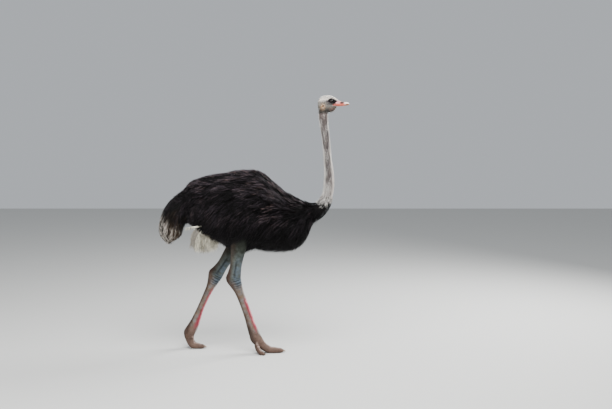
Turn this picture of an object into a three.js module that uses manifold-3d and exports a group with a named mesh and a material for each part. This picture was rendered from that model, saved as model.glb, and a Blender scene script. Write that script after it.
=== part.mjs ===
// A walking male ostrich at life size: a still model, one solid for each named part of the body.
// Millimetres, +Z up, the bill points along +X. The origin lies on the ground, midway between the
// rearmost tail plume and the bill's tip. The right leg (-Y) is forward and carries the weight, and
// the left one pushes off behind. Every solid reaches out to the tips of the feathers it wears.

import * as THREE from 'three';
import { mergeVertices } from 'three/addons/utils/BufferGeometryUtils.js';
import Module from 'manifold-3d';

const wasm = await Module();
wasm.setup();

// Driving sizes
const halfLength = 745; // from the origin to the bill's tip, and back to the tail's rearmost plume
const crownHeight = 2010; // top of the head in this walking pose
const backHeight = 1443; // top of the feathered back
const tarsusLength = 510; // hock to toe joint, the same in both legs
const gap = 0.3; // clear space kept between neighbouring solids

// Head and bill
const eyeRadius = 24; // the ball; a little over half of its width shows between the lids
const eye = { x: 611, y: 26, z: 1961 };
const gapeHeight = 1933; // the line where the two halves of the bill meet
const billBase = 650; // the bill's horn starts here, ahead of the bare lores

// Where the bare parts start
const neckPart = 1275; // height where the black collar gives way to the downy upper neck
const soleHeight = 0; // every toe stands on a small flat at this level

// The point at a distance from one point toward another
function pointAlong(from, to, distance) {
  const start = new THREE.Vector3(...from);
  const heading = new THREE.Vector3(...to).sub(start).normalize();
  return start.addScaledVector(heading, distance).toArray();
}

// Joints of the legs, and the lines of the toes down to the roots of their claws
const rightLeg = {
  knee: [-64, -118, 1140],
  hock: [-150, -92, 588],
  toeJoint: pointAlong([-150, -92, 588], [27, -68, 110], tarsusLength),
  bigToe: [[66, -66, 58], [122, -63, 27], [178, -61, 20], [214, -60, 17]],
  smallToe: [[30, -98, 58], [50, -124, 24], [72, -141, 15], [88, -152, 12]],
};
const leftLeg = {
  knee: [6, 118, 1060],
  hock: [-310, 92, 588],
  toeJoint: pointAlong([-310, 92, 588], [-524, 74, 128], tarsusLength),
  bigToe: [[-520, 73, 72], [-496, 71, 32], [-452, 69, 20], [-418, 68, 17]],
  smallToe: [[-512, 104, 66], [-494, 124, 28], [-470, 138, 15], [-452, 148, 12]],
};

// Colours, with roughness, as the bird wears them
const finish = (color, roughness = 0.8) => new THREE.MeshStandardMaterial({ color, roughness, metalness: 0 });
const materials = {
  blackFeather: () => finish('#17151a', 0.75),
  whitePlume: () => finish('#d9d5c6', 0.85),
  tailPlume: () => finish('#6f5f52', 0.85),
  neckDown: () => finish('#a39d96', 0.9),
  legSkin: () => finish('#6f747a', 0.6),
  tarsusSkin: () => finish('#93635f', 0.55),
  toeSkin: () => finish('#8d7264', 0.7),
  bill: () => finish('#d68f82', 0.45),
  eye: () => finish('#140c08', 0.1),
  claw: () => finish('#3b302a', 0.5),
};

// A manifold solid from a three.js geometry.
function solid(geometry) {
  const bare = geometry.clone();
  bare.deleteAttribute('normal');
  bare.deleteAttribute('uv');
  const merged = mergeVertices(bare, 1e-3);
  return new wasm.Manifold(
    new wasm.Mesh({
      numProp: 3,
      vertProperties: new Float32Array(merged.attributes.position.array),
      triVerts: new Uint32Array(merged.index.array),
    }),
  );
}

// A named three.js mesh from a manifold solid or a geometry.
function piece(name, shape, material) {
  let geometry = shape;
  if (!shape.isBufferGeometry) {
    const mesh = shape.getMesh();
    geometry = new THREE.BufferGeometry();
    geometry.setAttribute('position', new THREE.BufferAttribute(new Float32Array(mesh.vertProperties), 3));
    geometry.setIndex(new THREE.BufferAttribute(new Uint32Array(mesh.triVerts), 1));
    geometry.computeVertexNormals();
  }
  const made = new THREE.Mesh(geometry, material);
  made.name = name;
  return made;
}

const power = (value, exponent) => Math.sign(value) * Math.abs(value) ** exponent;

// A closed cylinder drawn out along a spine and swelled to the sections there. A section is
// { at: [x, y, z], side, up, down }: its centre, its half width across the spine, and how far it
// reaches on the back's side and on the belly's. Sections stand square to the spine, or upright
// across X, and wide is the direction of their width. Squareness 2 is an ellipse, and more is
// boxier. Grow adds skin all round.
function form(sections, options) {
  const { around, along, grow = 0, upright = false, squareness = 2, wide = [0, 1, 0] } = options;
  const centres = new THREE.CatmullRomCurve3(sections.map((s) => new THREE.Vector3(...s.at)));
  const sizes = new THREE.CatmullRomCurve3(sections.map((s) => new THREE.Vector3(s.side, s.up, s.down)));
  const width = new THREE.Vector3(...wide);
  const geometry = new THREE.CylinderGeometry(1, 1, 1, around, along);
  const position = geometry.attributes.position;
  for (let i = 0; i < position.count; i += 1) {
    const t = Math.min(1, Math.max(0, 0.5 - position.getY(i)));
    const angle = Math.atan2(position.getZ(i), position.getX(i));
    const radius = Math.hypot(position.getX(i), position.getZ(i));
    const centre = centres.getPoint(t);
    const size = sizes.getPoint(t);
    const tangent = upright ? new THREE.Vector3(1, 0, 0) : centres.getTangent(t);
    const up = new THREE.Vector3().crossVectors(tangent, width).normalize();
    const side = new THREE.Vector3().crossVectors(up, tangent).normalize();
    const across = power(Math.cos(angle), 2 / squareness) * radius * (size.x + grow);
    const rise = power(Math.sin(angle), 2 / squareness) * radius;
    centre.addScaledVector(side, across).addScaledVector(up, rise * ((rise > 0 ? size.y : size.z) + grow));
    if (t === 0) centre.addScaledVector(tangent, -grow);
    if (t === 1) centre.addScaledVector(tangent, grow);
    position.setXYZ(i, centre.x, centre.y, centre.z);
  }
  return solid(geometry);
}

// The same form twice: as it is, and grown by the gap to cut its neighbours with.
function formAndKnife(sections, options) {
  return { body: form(sections, options), knife: form(sections, { ...options, grow: gap }) };
}

// Cuts a solid at a plane and keeps the side that the normal points to.
function keepBeyond(shape, normal, point) {
  const n = new THREE.Vector3(...normal).normalize();
  return shape.trimByPlane(n.toArray(), n.dot(new THREE.Vector3(...point)));
}

// Trunk, from rump to breast, in upright sections: a deep egg, fullest over the thighs
function makeTrunk() {
  const widestShare = 0.42; // how far down from the back the trunk is widest
  const profile = [
    { x: -538, top: 1268, bottom: 1062, side: 78 },
    { x: -500, top: 1333, bottom: 1018, side: 132 },
    { x: -400, top: 1384, bottom: 958, side: 180 },
    { x: -222, top: 1420, bottom: 850, side: 216 },
    { x: -60, top: backHeight, bottom: 806, side: 228 },
    { x: 54, top: 1416, bottom: 798, side: 220 },
    { x: 160, top: 1343, bottom: 770, side: 204 },
    { x: 290, top: 1249, bottom: 786, side: 174 },
    { x: 385, top: 1200, bottom: 850, side: 136 },
    { x: 442, top: 1174, bottom: 960, side: 98 },
    { x: 468, top: 1150, bottom: 1022, side: 60 },
  ];
  const sections = profile.map(({ x, top, bottom, side }) => {
    const middle = top - (top - bottom) * widestShare;
    return { at: [x, 0, middle], side, up: top - middle, down: middle - bottom };
  });
  return formAndKnife(sections, { around: 24, along: 18, upright: true, squareness: 2.15 });
}

// Neck, from inside the breast up to the skull, in an S that stands almost straight
function makeNeck() {
  const line = [
    { at: [395, 0, 1088], depth: 92 },
    { at: [460, 0, 1098], depth: 82 },
    { at: [520, 0, 1128], depth: 67 },
    { at: [560, 0, 1185], depth: 57 },
    { at: [580, 0, 1250], depth: 49 },
    { at: [588, 0, 1320], depth: 46 },
    { at: [588, 0, 1402], depth: 41 },
    { at: [577, 0, 1520], depth: 35 },
    { at: [567, 0, 1640], depth: 34 },
    { at: [552, 0, 1760], depth: 36 },
    { at: [543, 0, 1850], depth: 40 },
    { at: [547, 0, 1925], depth: 40 },
  ];
  const roundness = 0.94; // width over depth
  const sections = line.map(({ at, depth }) => ({ at, side: depth * roundness, up: depth, down: depth }));
  return formAndKnife(sections, { around: 16, along: 24 });
}

// Skull, cheeks and loose throat, in upright sections from the nape to the root of the bill
function makeHead() {
  const sections = [
    { x: 498, top: 1958, bottom: 1904, side: 20 },
    { x: 510, top: 1981, bottom: 1889, side: 33 },
    { x: 545, top: 2005, bottom: 1882, side: 42 },
    { x: 582, top: crownHeight, bottom: 1876, side: 45 },
    { x: 612, top: 2002, bottom: 1880, side: 44 },
    { x: 636, top: 1988, bottom: 1898, side: 37 },
    { x: billBase + 4, top: 1976, bottom: 1920, side: 30 },
  ].map(({ x, top, bottom, side }) => {
    const half = (top - bottom) / 2;
    return { at: [x, 0, bottom + half], side, up: half, down: half };
  });
  return formAndKnife(sections, { around: 18, along: 11, upright: true, squareness: 2.1 });
}

// Both halves of the bill: broad and flat, rounded at the tip, with a raised culmen and nail
function makeBill() {
  const root = billBase - 14;
  const upper = form(
    [
      { at: [root, 0, gapeHeight], side: 34, up: 44, down: 10 },
      { at: [668, 0, gapeHeight], side: 30, up: 33, down: 8 },
      { at: [694, 0, gapeHeight], side: 25, up: 26, down: 6 },
      { at: [718, 0, gapeHeight], side: 20, up: 19, down: 5 },
      { at: [736, 0, gapeHeight + 1], side: 13, up: 14, down: 4 },
      { at: [halfLength, 0, gapeHeight + 2], side: 5, up: 6, down: 3 },
    ],
    { around: 16, along: 8, upright: true },
  );
  const lower = form(
    [
      { at: [root, 0, gapeHeight], side: 33, up: 10, down: 13 },
      { at: [668, 0, gapeHeight], side: 29, up: 8, down: 13 },
      { at: [694, 0, gapeHeight], side: 24, up: 6, down: 11 },
      { at: [716, 0, gapeHeight], side: 18, up: 5, down: 8 },
      { at: [735, 0, gapeHeight], side: 9, up: 3, down: 4 },
    ],
    { around: 16, along: 6, upright: true },
  );
  const line = [billBase, 0, gapeHeight];
  return {
    upper: keepBeyond(upper, [0, 0, 1], line),
    lower: keepBeyond(lower, [0, 0, -1], [line[0], 0, gapeHeight - gap]),
  };
}

// Eyeball
function makeEye(side, grow = 0) {
  const ball = new THREE.SphereGeometry(eyeRadius + grow, 16, 10);
  ball.translate(eye.x, side * eye.y, eye.z);
  return solid(ball);
}

// Tail: a brush of drooping plumes hung from the rump
function makeTail() {
  const sections = [
    { at: [-440, 0, 1190], side: 112, up: 120, down: 120 },
    { at: [-540, 0, 1152], side: 126, up: 122, down: 112 },
    { at: [-618, 0, 1085], side: 130, up: 108, down: 96 },
    { at: [-650, 0, 1005], side: 124, up: 93, down: 92 },
    { at: [-662, 0, 925], side: 104, up: 78, down: 82 },
    { at: [-666, 0, 884], side: 78, up: 58, down: 60 },
    { at: [-666, 0, 852], side: 42, up: 28, down: 28 },
  ];
  return formAndKnife(sections, { around: 18, along: 12 });
}

// Folded right wing: a long lens over the flank, from the rump forward to the shoulder
function makeWing() {
  const sections = [
    { at: [-496, -84, 1068], side: 40, up: 56, down: 46 },
    { at: [-415, -112, 1096], side: 74, up: 128, down: 128 },
    { at: [-300, -152, 1122], side: 86, up: 166, down: 232 },
    { at: [-150, -178, 1140], side: 88, up: 182, down: 240 },
    { at: [0, -178, 1152], side: 84, up: 170, down: 206 },
    { at: [150, -164, 1162], side: 62, up: 108, down: 128 },
    { at: [236, -148, 1176], side: 26, up: 34, down: 42 },
  ];
  return formAndKnife(sections, { around: 16, along: 13, upright: true });
}

// White flight plumes that droop below the right wing's trailing edge
function makeWingPlumes() {
  const sections = [
    { at: [-352, -132, 985], side: 30, up: 72, down: 72 },
    { at: [-356, -136, 925], side: 36, up: 96, down: 92 },
    { at: [-362, -139, 868], side: 34, up: 108, down: 104 },
    { at: [-366, -141, 826], side: 26, up: 92, down: 88 },
    { at: [-368, -142, 800], side: 12, up: 48, down: 46 },
  ];
  return formAndKnife(sections, { around: 14, along: 7 });
}

// Drumstick, from inside the trunk down to the hock: bare, muscular above and lean below
function makeShank({ knee, hock }) {
  const sections = [
    { above: 470, side: 92, up: 112, down: 104 },
    { above: 380, side: 74, up: 90, down: 84 },
    { above: 280, side: 56, up: 66, down: 64 },
    { above: 180, side: 44, up: 52, down: 50 },
    { above: 105, side: 38, up: 46, down: 44 },
    { above: 40, side: 40, up: 52, down: 54 },
    { above: 0, side: 42, up: 55, down: 62 },
    { above: -22, side: 38, up: 50, down: 50 },
  ].map(({ above, side, up, down }) => ({ at: pointAlong(hock, knee, above), side, up, down }));
  return formAndKnife(sections, { around: 14, along: 11 });
}

// Long shin-like tarsus, from the hock down to the broad toe joint
function makeTarsus({ hock, toeJoint }) {
  const sections = [
    { below: -6, side: 36, up: 48, down: 50 },
    { below: 45, side: 33, up: 45, down: 43 },
    { below: 105, side: 25, up: 32, down: 31 },
    { below: 190, side: 21, up: 26, down: 27 },
    { below: 300, side: 21, up: 25, down: 26 },
    { below: 390, side: 26, up: 29, down: 29 },
    { below: 460, side: 34, up: 37, down: 37 },
    { below: tarsusLength, side: 37, up: 44, down: 42 },
    { below: tarsusLength + 24, side: 28, up: 30, down: 28 },
  ].map(({ below, side, up, down }) => ({ at: pointAlong(hock, toeJoint, below), side, up, down }));
  return formAndKnife(sections, { around: 12, along: 14 });
}

// Everything above the ground: what stands is flattened there
const standing = (shape) => keepBeyond(shape, [0, 0, 1], [0, 0, soleHeight]);

// A padded toe, from the toe joint to the root of its claw
function makeToe(toeJoint, path, sizes, options) {
  const sections = [toeJoint, ...path].map((at, i) => ({ at, ...sizes[i] }));
  const wide = [toeJoint[1] - path.at(-1)[1], path.at(-1)[0] - toeJoint[0], 0];
  const { body, knife } = formAndKnife(sections, { ...options, wide });
  return { body: standing(body), knife };
}

const bigToeSizes = [
  { side: 34, up: 40, down: 33 },
  { side: 33, up: 34, down: 31 },
  { side: 31, up: 24, down: 30 },
  { side: 30, up: 20, down: 26 },
  { side: 21, up: 14, down: 21 },
];
const smallToeSizes = [
  { side: 22, up: 24, down: 24 },
  { side: 20, up: 20, down: 20 },
  { side: 19, up: 16, down: 22 },
  { side: 17, up: 13, down: 18 },
  { side: 11, up: 8, down: 14 },
];

// A claw lies ahead of its toe, in line with the toe's last bone
function makeClaw(path, length, width, height) {
  const tip = new THREE.Vector3(...path.at(-1));
  const heading = tip.clone().sub(new THREE.Vector3(...path.at(-2)));
  heading.z = 0;
  heading.normalize();
  const stations = [
    { share: -0.3, width: 0.9, height: 0.9 },
    { share: 0.1, width: 1, height: 1 },
    { share: 0.5, width: 0.8, height: 0.72 },
    { share: 0.85, width: 0.45, height: 0.4 },
    { share: 1, width: 0.14, height: 0.14 },
  ];
  const droop = 0.12; // how far the claw's line sinks over its length
  const sections = stations.map((station) => {
    const at = tip.clone().addScaledVector(heading, station.share * length);
    at.z -= station.share * length * droop;
    return {
      at: at.toArray(),
      side: (width / 2) * station.width,
      up: (height / 2) * station.height,
      down: (height / 2) * station.height,
    };
  });
  return formAndKnife(sections, { around: 8, along: 5, wide: [-heading.y, heading.x, 0] });
}

const sides = [['right', -1, rightLeg], ['left', 1, leftLeg]];

// The flanks are shaped on the right and mirrored to the left.
const onSide = (shape, side) => (side < 0 ? shape : shape.mirror([0, 1, 0]));

const bird = new THREE.Group();
bird.name = 'ostrich';

// Trunk, tail, wings and their plumes
const trunk = makeTrunk();
const tail = makeTail();
const wing = makeWing();
const plumes = makeWingPlumes();
const torsoKnife = trunk.knife.add(tail.knife);
bird.add(
  piece('trunk', trunk.body, materials.blackFeather()),
  piece('tail', tail.body.subtract(trunk.knife), materials.tailPlume()),
);
for (const [name, side] of sides) {
  const wingBody = onSide(wing.body, side).subtract(torsoKnife);
  const plumeBody = onSide(plumes.body, side).subtract(torsoKnife).subtract(onSide(wing.knife, side));
  bird.add(
    piece(`wing_${name}`, wingBody, materials.blackFeather()),
    piece(`wing_plumes_${name}`, plumeBody, materials.whitePlume()),
  );
}

// Neck in two lengths, head, bill and eyes
const neck = makeNeck();
const head = makeHead();
const bill = makeBill();
const neckBody = neck.body.subtract(trunk.knife).subtract(head.knife);
const collar = keepBeyond(neckBody, [0, 0, -1], [0, 0, neckPart - gap / 2]);
const upperNeck = keepBeyond(neckBody, [0, 0, 1], [0, 0, neckPart + gap / 2]);
const headBody = head.body.subtract(makeEye(-1, gap)).subtract(makeEye(1, gap));
const headKnife = head.knife;
bird.add(
  piece('neck_lower', collar, materials.blackFeather()),
  piece('neck_upper', upperNeck, materials.neckDown()),
  piece('head', headBody, materials.neckDown()),
  piece('bill_upper', bill.upper.subtract(headKnife), materials.bill()),
  piece('bill_lower', bill.lower.subtract(headKnife), materials.bill()),
);
for (const [name, side] of sides) {
  const ball = piece(`eye_${name}`, new THREE.SphereGeometry(eyeRadius, 16, 10), materials.eye());
  ball.position.set(eye.x, side * eye.y, eye.z);
  bird.add(ball);
}

// Legs, toes and claws
for (const [name, side, leg] of sides) {
  const shank = makeShank(leg);
  const tarsus = makeTarsus(leg);
  const flankKnife = trunk.knife.add(onSide(wing.knife.add(plumes.knife), side));
  const shankBody = shank.body.subtract(flankKnife).subtract(tarsus.knife);
  const bigClaw = makeClaw(leg.bigToe, 36, 30, 22);
  const smallClaw = makeClaw(leg.smallToe, 13, 15, 11);
  const bigToe = makeToe(leg.toeJoint, leg.bigToe, bigToeSizes, { around: 12, along: 8 });
  const smallToe = makeToe(leg.toeJoint, leg.smallToe, smallToeSizes, { around: 10, along: 7 });
  const bigToeBody = bigToe.body.subtract(tarsus.knife).subtract(bigClaw.knife);
  const smallToeBody = smallToe.body.subtract(tarsus.knife.add(bigToe.knife)).subtract(smallClaw.knife);
  bird.add(
    piece(`shank_${name}`, shankBody, materials.legSkin()),
    piece(`tarsus_${name}`, tarsus.body, materials.tarsusSkin()),
    piece(`toe_big_${name}`, bigToeBody, materials.toeSkin()),
    piece(`toe_small_${name}`, smallToeBody, materials.toeSkin()),
    piece(`claw_big_${name}`, standing(bigClaw.body), materials.claw()),
    piece(`claw_small_${name}`, standing(smallClaw.body), materials.claw()),
  );
}

export default bird;
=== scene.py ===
import math
import time

import bpy
import numpy as np
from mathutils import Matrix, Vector
from mathutils.bvhtree import BVHTree


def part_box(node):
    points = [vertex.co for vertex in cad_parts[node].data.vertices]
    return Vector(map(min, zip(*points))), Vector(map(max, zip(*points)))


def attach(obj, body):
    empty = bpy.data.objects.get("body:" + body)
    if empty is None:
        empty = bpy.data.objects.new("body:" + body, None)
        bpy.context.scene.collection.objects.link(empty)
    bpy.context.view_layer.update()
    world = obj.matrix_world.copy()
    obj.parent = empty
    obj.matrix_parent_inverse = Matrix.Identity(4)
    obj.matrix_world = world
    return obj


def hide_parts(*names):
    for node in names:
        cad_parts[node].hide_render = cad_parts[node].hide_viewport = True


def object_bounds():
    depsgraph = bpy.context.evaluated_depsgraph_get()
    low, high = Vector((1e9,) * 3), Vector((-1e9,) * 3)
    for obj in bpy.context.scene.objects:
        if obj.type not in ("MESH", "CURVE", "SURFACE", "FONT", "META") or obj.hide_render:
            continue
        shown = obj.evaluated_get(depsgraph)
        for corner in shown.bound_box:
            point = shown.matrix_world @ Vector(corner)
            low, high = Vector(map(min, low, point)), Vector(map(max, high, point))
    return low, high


# A walking male ostrich, life size. X runs forward along the bill, Y to the bird's left, Z up.

started = time.time()
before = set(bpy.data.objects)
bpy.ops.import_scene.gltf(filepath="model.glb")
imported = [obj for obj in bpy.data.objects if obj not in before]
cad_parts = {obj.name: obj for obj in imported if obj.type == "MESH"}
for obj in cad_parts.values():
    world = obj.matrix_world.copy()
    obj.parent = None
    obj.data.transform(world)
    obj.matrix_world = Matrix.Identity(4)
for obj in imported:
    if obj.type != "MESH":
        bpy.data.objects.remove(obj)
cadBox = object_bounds()
turn = 2 * math.pi
handOf = {"right": -1, "left": 1}  # the sign of Y on each side


def report(stage):
    print(f"{time.time() - started:6.1f} s  {stage}")


# Helpers for colours and curves

def toLinear(hexColour):
    channels = [int(hexColour[i:i + 2], 16) / 255 for i in (1, 3, 5)]
    return np.array([c / 12.92 if c <= 0.04045 else ((c + 0.055) / 1.055) ** 2.4 for c in channels])


def smoothStep(low, high, value):
    t = np.clip((np.asarray(value, float) - low) / (high - low), 0, 1)
    return t * t * (3 - 2 * t)


def bump(value, centre, width):
    return np.exp(-((np.asarray(value, float) - centre) / width) ** 2)


def normalised(vectors):
    return vectors / np.maximum(np.linalg.norm(vectors, axis=-1, keepdims=True), 1e-9)


def mixed(a, b, share):
    share = np.asarray(share, float)[..., None]
    return a * (1 - share) + b * share


def layered(palette, base, *layers):  # a base tint, then the palette's others over it, each by its share
    colour = toLinear(palette[base]) if isinstance(base, str) else base
    for name, share in layers:
        colour = mixed(colour, toLinear(palette[name]), share)
    return colour


def grain(points, scale, seed):  # smooth noise between -1 and 1 from a sum of turned waves
    rng = np.random.default_rng(seed)
    total = np.zeros(len(points))
    for _ in range(7):
        heading = rng.normal(size=3)
        heading *= rng.uniform(0.6, 1.6) / np.linalg.norm(heading)
        total += np.sin(points @ heading * turn / scale + rng.uniform(0, 6.28))
    return total / 3.2


def angles(count):  # evenly spaced round a ring
    return np.linspace(0, turn, count, endpoint=False)


def runAlong(points):  # the distance from the first point to each one
    return np.concatenate([[0], np.cumsum(np.linalg.norm(np.diff(points, axis=0), axis=1))])


def throughPoints(points, count):  # evenly spaced along a smooth curve; columns past the third ride along
    known = np.array(points, float)
    held = np.vstack([2 * known[0] - known[1], known, 2 * known[-1] - known[-2]])
    t = np.linspace(0, 1, 24, endpoint=False)[:, None]
    spans = [
        0.5 * (2 * b + (c - a) * t + (2 * a - 5 * b + 4 * c - d) * t ** 2 + (3 * b - a - 3 * c + d) * t ** 3)
        for a, b, c, d in zip(held, held[1:], held[2:], held[3:])
    ]
    fine = np.vstack(spans + [known[-1:]])
    run = runAlong(fine[:, :3])
    even = np.linspace(0, run[-1], count)
    return np.stack([np.interp(even, run, column) for column in fine.T], axis=1)


# Helpers for meshes

def linked(name, data):
    made = bpy.data.objects.new(name, data)
    bpy.context.scene.collection.objects.link(made)
    return made


def meshObject(name, vertices, faces, smooth=True):
    mesh = bpy.data.meshes.new(name)
    mesh.from_pydata([tuple(v) for v in vertices], [], [tuple(f) for f in faces])
    mesh.update()
    if smooth:
        mesh.shade_smooth()
    return linked(name, mesh)


def positionsOf(thing, field="co"):
    values = np.zeros(len(thing.data.vertices) * 3, np.float32)
    thing.data.vertices.foreach_get(field, values)
    return values.reshape(-1, 3).astype(float)


def normalsOf(thing):
    return positionsOf(thing, "normal")


def setPositions(thing, positions):
    thing.data.vertices.foreach_set("co", np.asarray(positions, np.float32).ravel())
    thing.data.update()


def trianglesOf(thing):
    thing.data.calc_loop_triangles()
    return np.array([t.vertices[:] for t in thing.data.loop_triangles])


def closedMesh(name, vertices, faces):  # with its faces turned outwards
    made = meshObject(name, vertices, faces)
    co, corners = positionsOf(made), trianglesOf(made)
    a, b, c = (co[corners[:, i]] for i in range(3))
    if np.einsum("ij,ij->i", a, np.cross(b, c)).sum() < 0:  # six times the volume
        made.data.flip_normals()
    return made


def quadsBetween(rings, around, endless=False):
    faces = []
    for i in range(rings if endless else rings - 1):
        a, b = i * around, (i + 1) % rings * around
        faces += [(a + j, a + (j + 1) % around, b + (j + 1) % around, b + j) for j in range(around)]
    return faces


def tubeMesh(name, grid, poles):  # rings of points, closed by a fan round the pole at each end
    rings, around = grid.shape[:2]
    first, last, top = rings * around, rings * around + 1, (rings - 1) * around
    faces = quadsBetween(rings, around)
    for j in range(around):
        k = (j + 1) % around
        faces += [(first, k, j), (last, top + j, top + k)]
    return closedMesh(name, np.vstack([grid.reshape(-1, 3), *poles]), faces)


# A closed tube through stations: x, y, z, half width, reach on the up side, reach on the down side
def loft(name, stations, rings, around, width=(0, 1, 0), upright=False, squareness=2.0, easing=0):
    line = throughPoints(stations, rings)
    centres = line[:, :3]
    side, up, down = line[:, 3:].T[..., None]
    tangents = np.tile([1.0, 0, 0], (rings, 1)) if upright else normalised(np.gradient(centres, axis=0))
    for _ in range(easing):  # rings turn gradually round a tight bend, so that they don't cross
        tangents[1:-1] = normalised(tangents[:-2] + tangents[1:-1] + tangents[2:])
    rises = normalised(np.cross(tangents, np.array(width, float)))
    sides = normalised(np.cross(rises, tangents))
    angle = angles(around)
    c, s = (np.sign(v) * np.abs(v) ** (2 / squareness) for v in (np.cos(angle), np.sin(angle)))
    reach = np.where(s > 0, up, down) * s
    grid = centres[:, None] + sides[:, None] * (side * c)[..., None] + rises[:, None] * reach[..., None]
    return tubeMesh(name, grid, [centres[0], centres[-1]])


def setAttribute(thing, name, kind, values):
    field = {"FLOAT": "value", "FLOAT_VECTOR": "vector", "FLOAT_COLOR": "color"}[kind]
    attribute = thing.data.attributes.new(name, kind, "POINT")
    attribute.data.foreach_set(field, np.asarray(values, np.float32).ravel())


def setColours(thing, colours):
    setAttribute(thing, "tint", "FLOAT_COLOR", np.append(colours, np.ones((len(colours), 1)), axis=1))


def applyModifiers(thing):
    depsgraph = bpy.context.evaluated_depsgraph_get()
    plain = bpy.data.meshes.new_from_object(thing.evaluated_get(depsgraph))
    old = thing.data
    thing.modifiers.clear()
    thing.data = plain
    bpy.data.meshes.remove(old)


def modified(thing, kind, **settings):
    modifier = thing.modifiers.new(kind.title(), kind)
    for key, value in settings.items():
        setattr(modifier, key, value)
    applyModifiers(thing)


def smoothedWhere(thing, weights, factor, rounds):  # only the vertices with a weight move
    group = thing.vertex_groups.new(name="smoothed")
    for i in np.nonzero(weights)[0]:
        group.add([int(i)], float(weights[i]), "REPLACE")
    modified(thing, "SMOOTH", factor=factor, iterations=rounds, vertex_group="smoothed")
    thing.vertex_groups.clear()


def searchTree(thing):
    return BVHTree.FromObject(thing, bpy.context.evaluated_depsgraph_get())


def gathered(things):  # the vertices and faces of several meshes in one list each
    vertices, faces = [], []
    for thing in things:
        offset = len(vertices)
        vertices += [tuple(v.co) for v in thing.data.vertices]
        faces += [tuple(i + offset for i in p.vertices) for p in thing.data.polygons]
    return vertices, faces


def joined(name, things):
    made = meshObject(name, *gathered(things))
    for thing in things:
        bpy.data.objects.remove(thing)
    return made


def united(name, things):
    base = things[0]
    for other in things[1:]:
        modified(base, "BOOLEAN", operation="UNION", solver="MANIFOLD", object=other)
        bpy.data.objects.remove(other)
    base.name = name
    base.data.name = name
    return base


def softlyUnited(name, base, other, reach):  # one skin, with the crease between the two smoothed away
    trees = [searchTree(thing) for thing in (base, other)]
    made = united(name, [base, other])
    far = [max(tree.find_nearest(Vector(point))[3] for tree in trees) for point in positionsOf(made)]
    smoothedWhere(made, np.maximum(0, 1 - np.array(far) / reach), 0.6, 25)
    return made


def dressed(piece, material, slot, *nodes):  # on the one body there is, for the solids it stands for
    if material:
        piece.data.materials.clear()
        piece.data.materials.append(material)
    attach(piece, "root")
    if nodes:
        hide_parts(*nodes)


# The coat's outer surface, measured on the solids from a spine that runs tail to head

coatSurface = {
    "spine": [  # metres, from the tail's tip, over the rump, through the trunk and up the neck
        (-0.666, 0, 0.858), (-0.664, 0, 0.930), (-0.650, 0, 1.010), (-0.612, 0, 1.085), (-0.545, 0, 1.140),
        (-0.450, 0, 1.165), (-0.330, 0, 1.158), (-0.200, 0, 1.135), (-0.050, 0, 1.110), (0.100, 0, 1.072),
        (0.230, 0, 1.035), (0.340, 0, 1.035), (0.430, 0, 1.072), (0.505, 0, 1.122), (0.558, 0, 1.190),
        (0.580, 0, 1.250), (0.588, 0, 1.320), (0.588, 0, 1.402), (0.577, 0, 1.520), (0.567, 0, 1.640),
        (0.552, 0, 1.760), (0.543, 0, 1.850), (0.547, 0, 1.925),
    ],
    "nodes": ("trunk", "tail", "wing_right", "wing_left", "neck_lower", "neck_upper"),
    "rows": 240, "around": 96, "smoothing": 3,
    "bridged": 0.004,  # neighbouring solids stand this close at most
}


def reachFrom(origin, heading, tree, bridged):  # how far out the last wall lies, over gaps between solids
    reach, skip = 0.0, 2e-5
    for _ in range(12):
        hit, normal, _, distance = tree.ray_cast(origin + heading * (reach + skip), heading, 1.0)
        if hit is None or (normal.dot(heading) < 0 and distance > bridged):
            break
        reach += skip + distance
    return reach


def measureSurface(settings):
    tree = BVHTree.FromPolygons(*gathered([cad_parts[name] for name in settings["nodes"]]))
    rows = settings["rows"]
    centre = throughPoints(settings["spine"], rows)
    up = normalised(np.cross(normalised(np.gradient(centre, axis=0)), np.array([0.0, 1.0, 0.0])))
    radius = np.array([[
        reachFrom(Vector(centre[i]), Vector((0, math.cos(a), 0)) + Vector(up[i]) * math.sin(a), tree,
                  settings["bridged"]) for a in angles(settings["around"])] for i in range(rows)])
    for i in range(rows // 2, rows):  # inside the skull the neck keeps its last size
        if radius[i].min() < 0.7 * radius[i - 1].min():
            radius[i] = radius[i - 1]
    for _ in range(settings["smoothing"]):
        ringed = (np.roll(radius, 1, 1) + 2 * radius + np.roll(radius, -1, 1)) / 4
        padded = np.vstack([ringed[:1], ringed, ringed[-1:]])
        radius = (padded[:-2] + 2 * padded[1:-1] + padded[2:]) / 4
    run = runAlong(centre)
    return {"centre": centre, "up": up, "run": run, "radius": radius, "length": run[-1]}


surface = measureSurface(coatSurface)


def rowOf(s):
    rows = len(surface["run"])
    return np.clip(np.interp(s, surface["run"], np.arange(rows)), 0, rows - 1.001)


def radiusAt(s, theta):
    rows, grid = rowOf(s), surface["radius"]
    around = grid.shape[1]
    columns = (np.asarray(theta) / turn * around) % around
    i, j = rows.astype(int), columns.astype(int) % around
    di, dj = rows - i, columns - np.floor(columns)
    k = (j + 1) % around
    near = grid[i, j] * (1 - dj) + grid[i, k] * dj
    far = grid[i + 1, j] * (1 - dj) + grid[i + 1, k] * dj
    return near * (1 - di) + far * di


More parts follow.
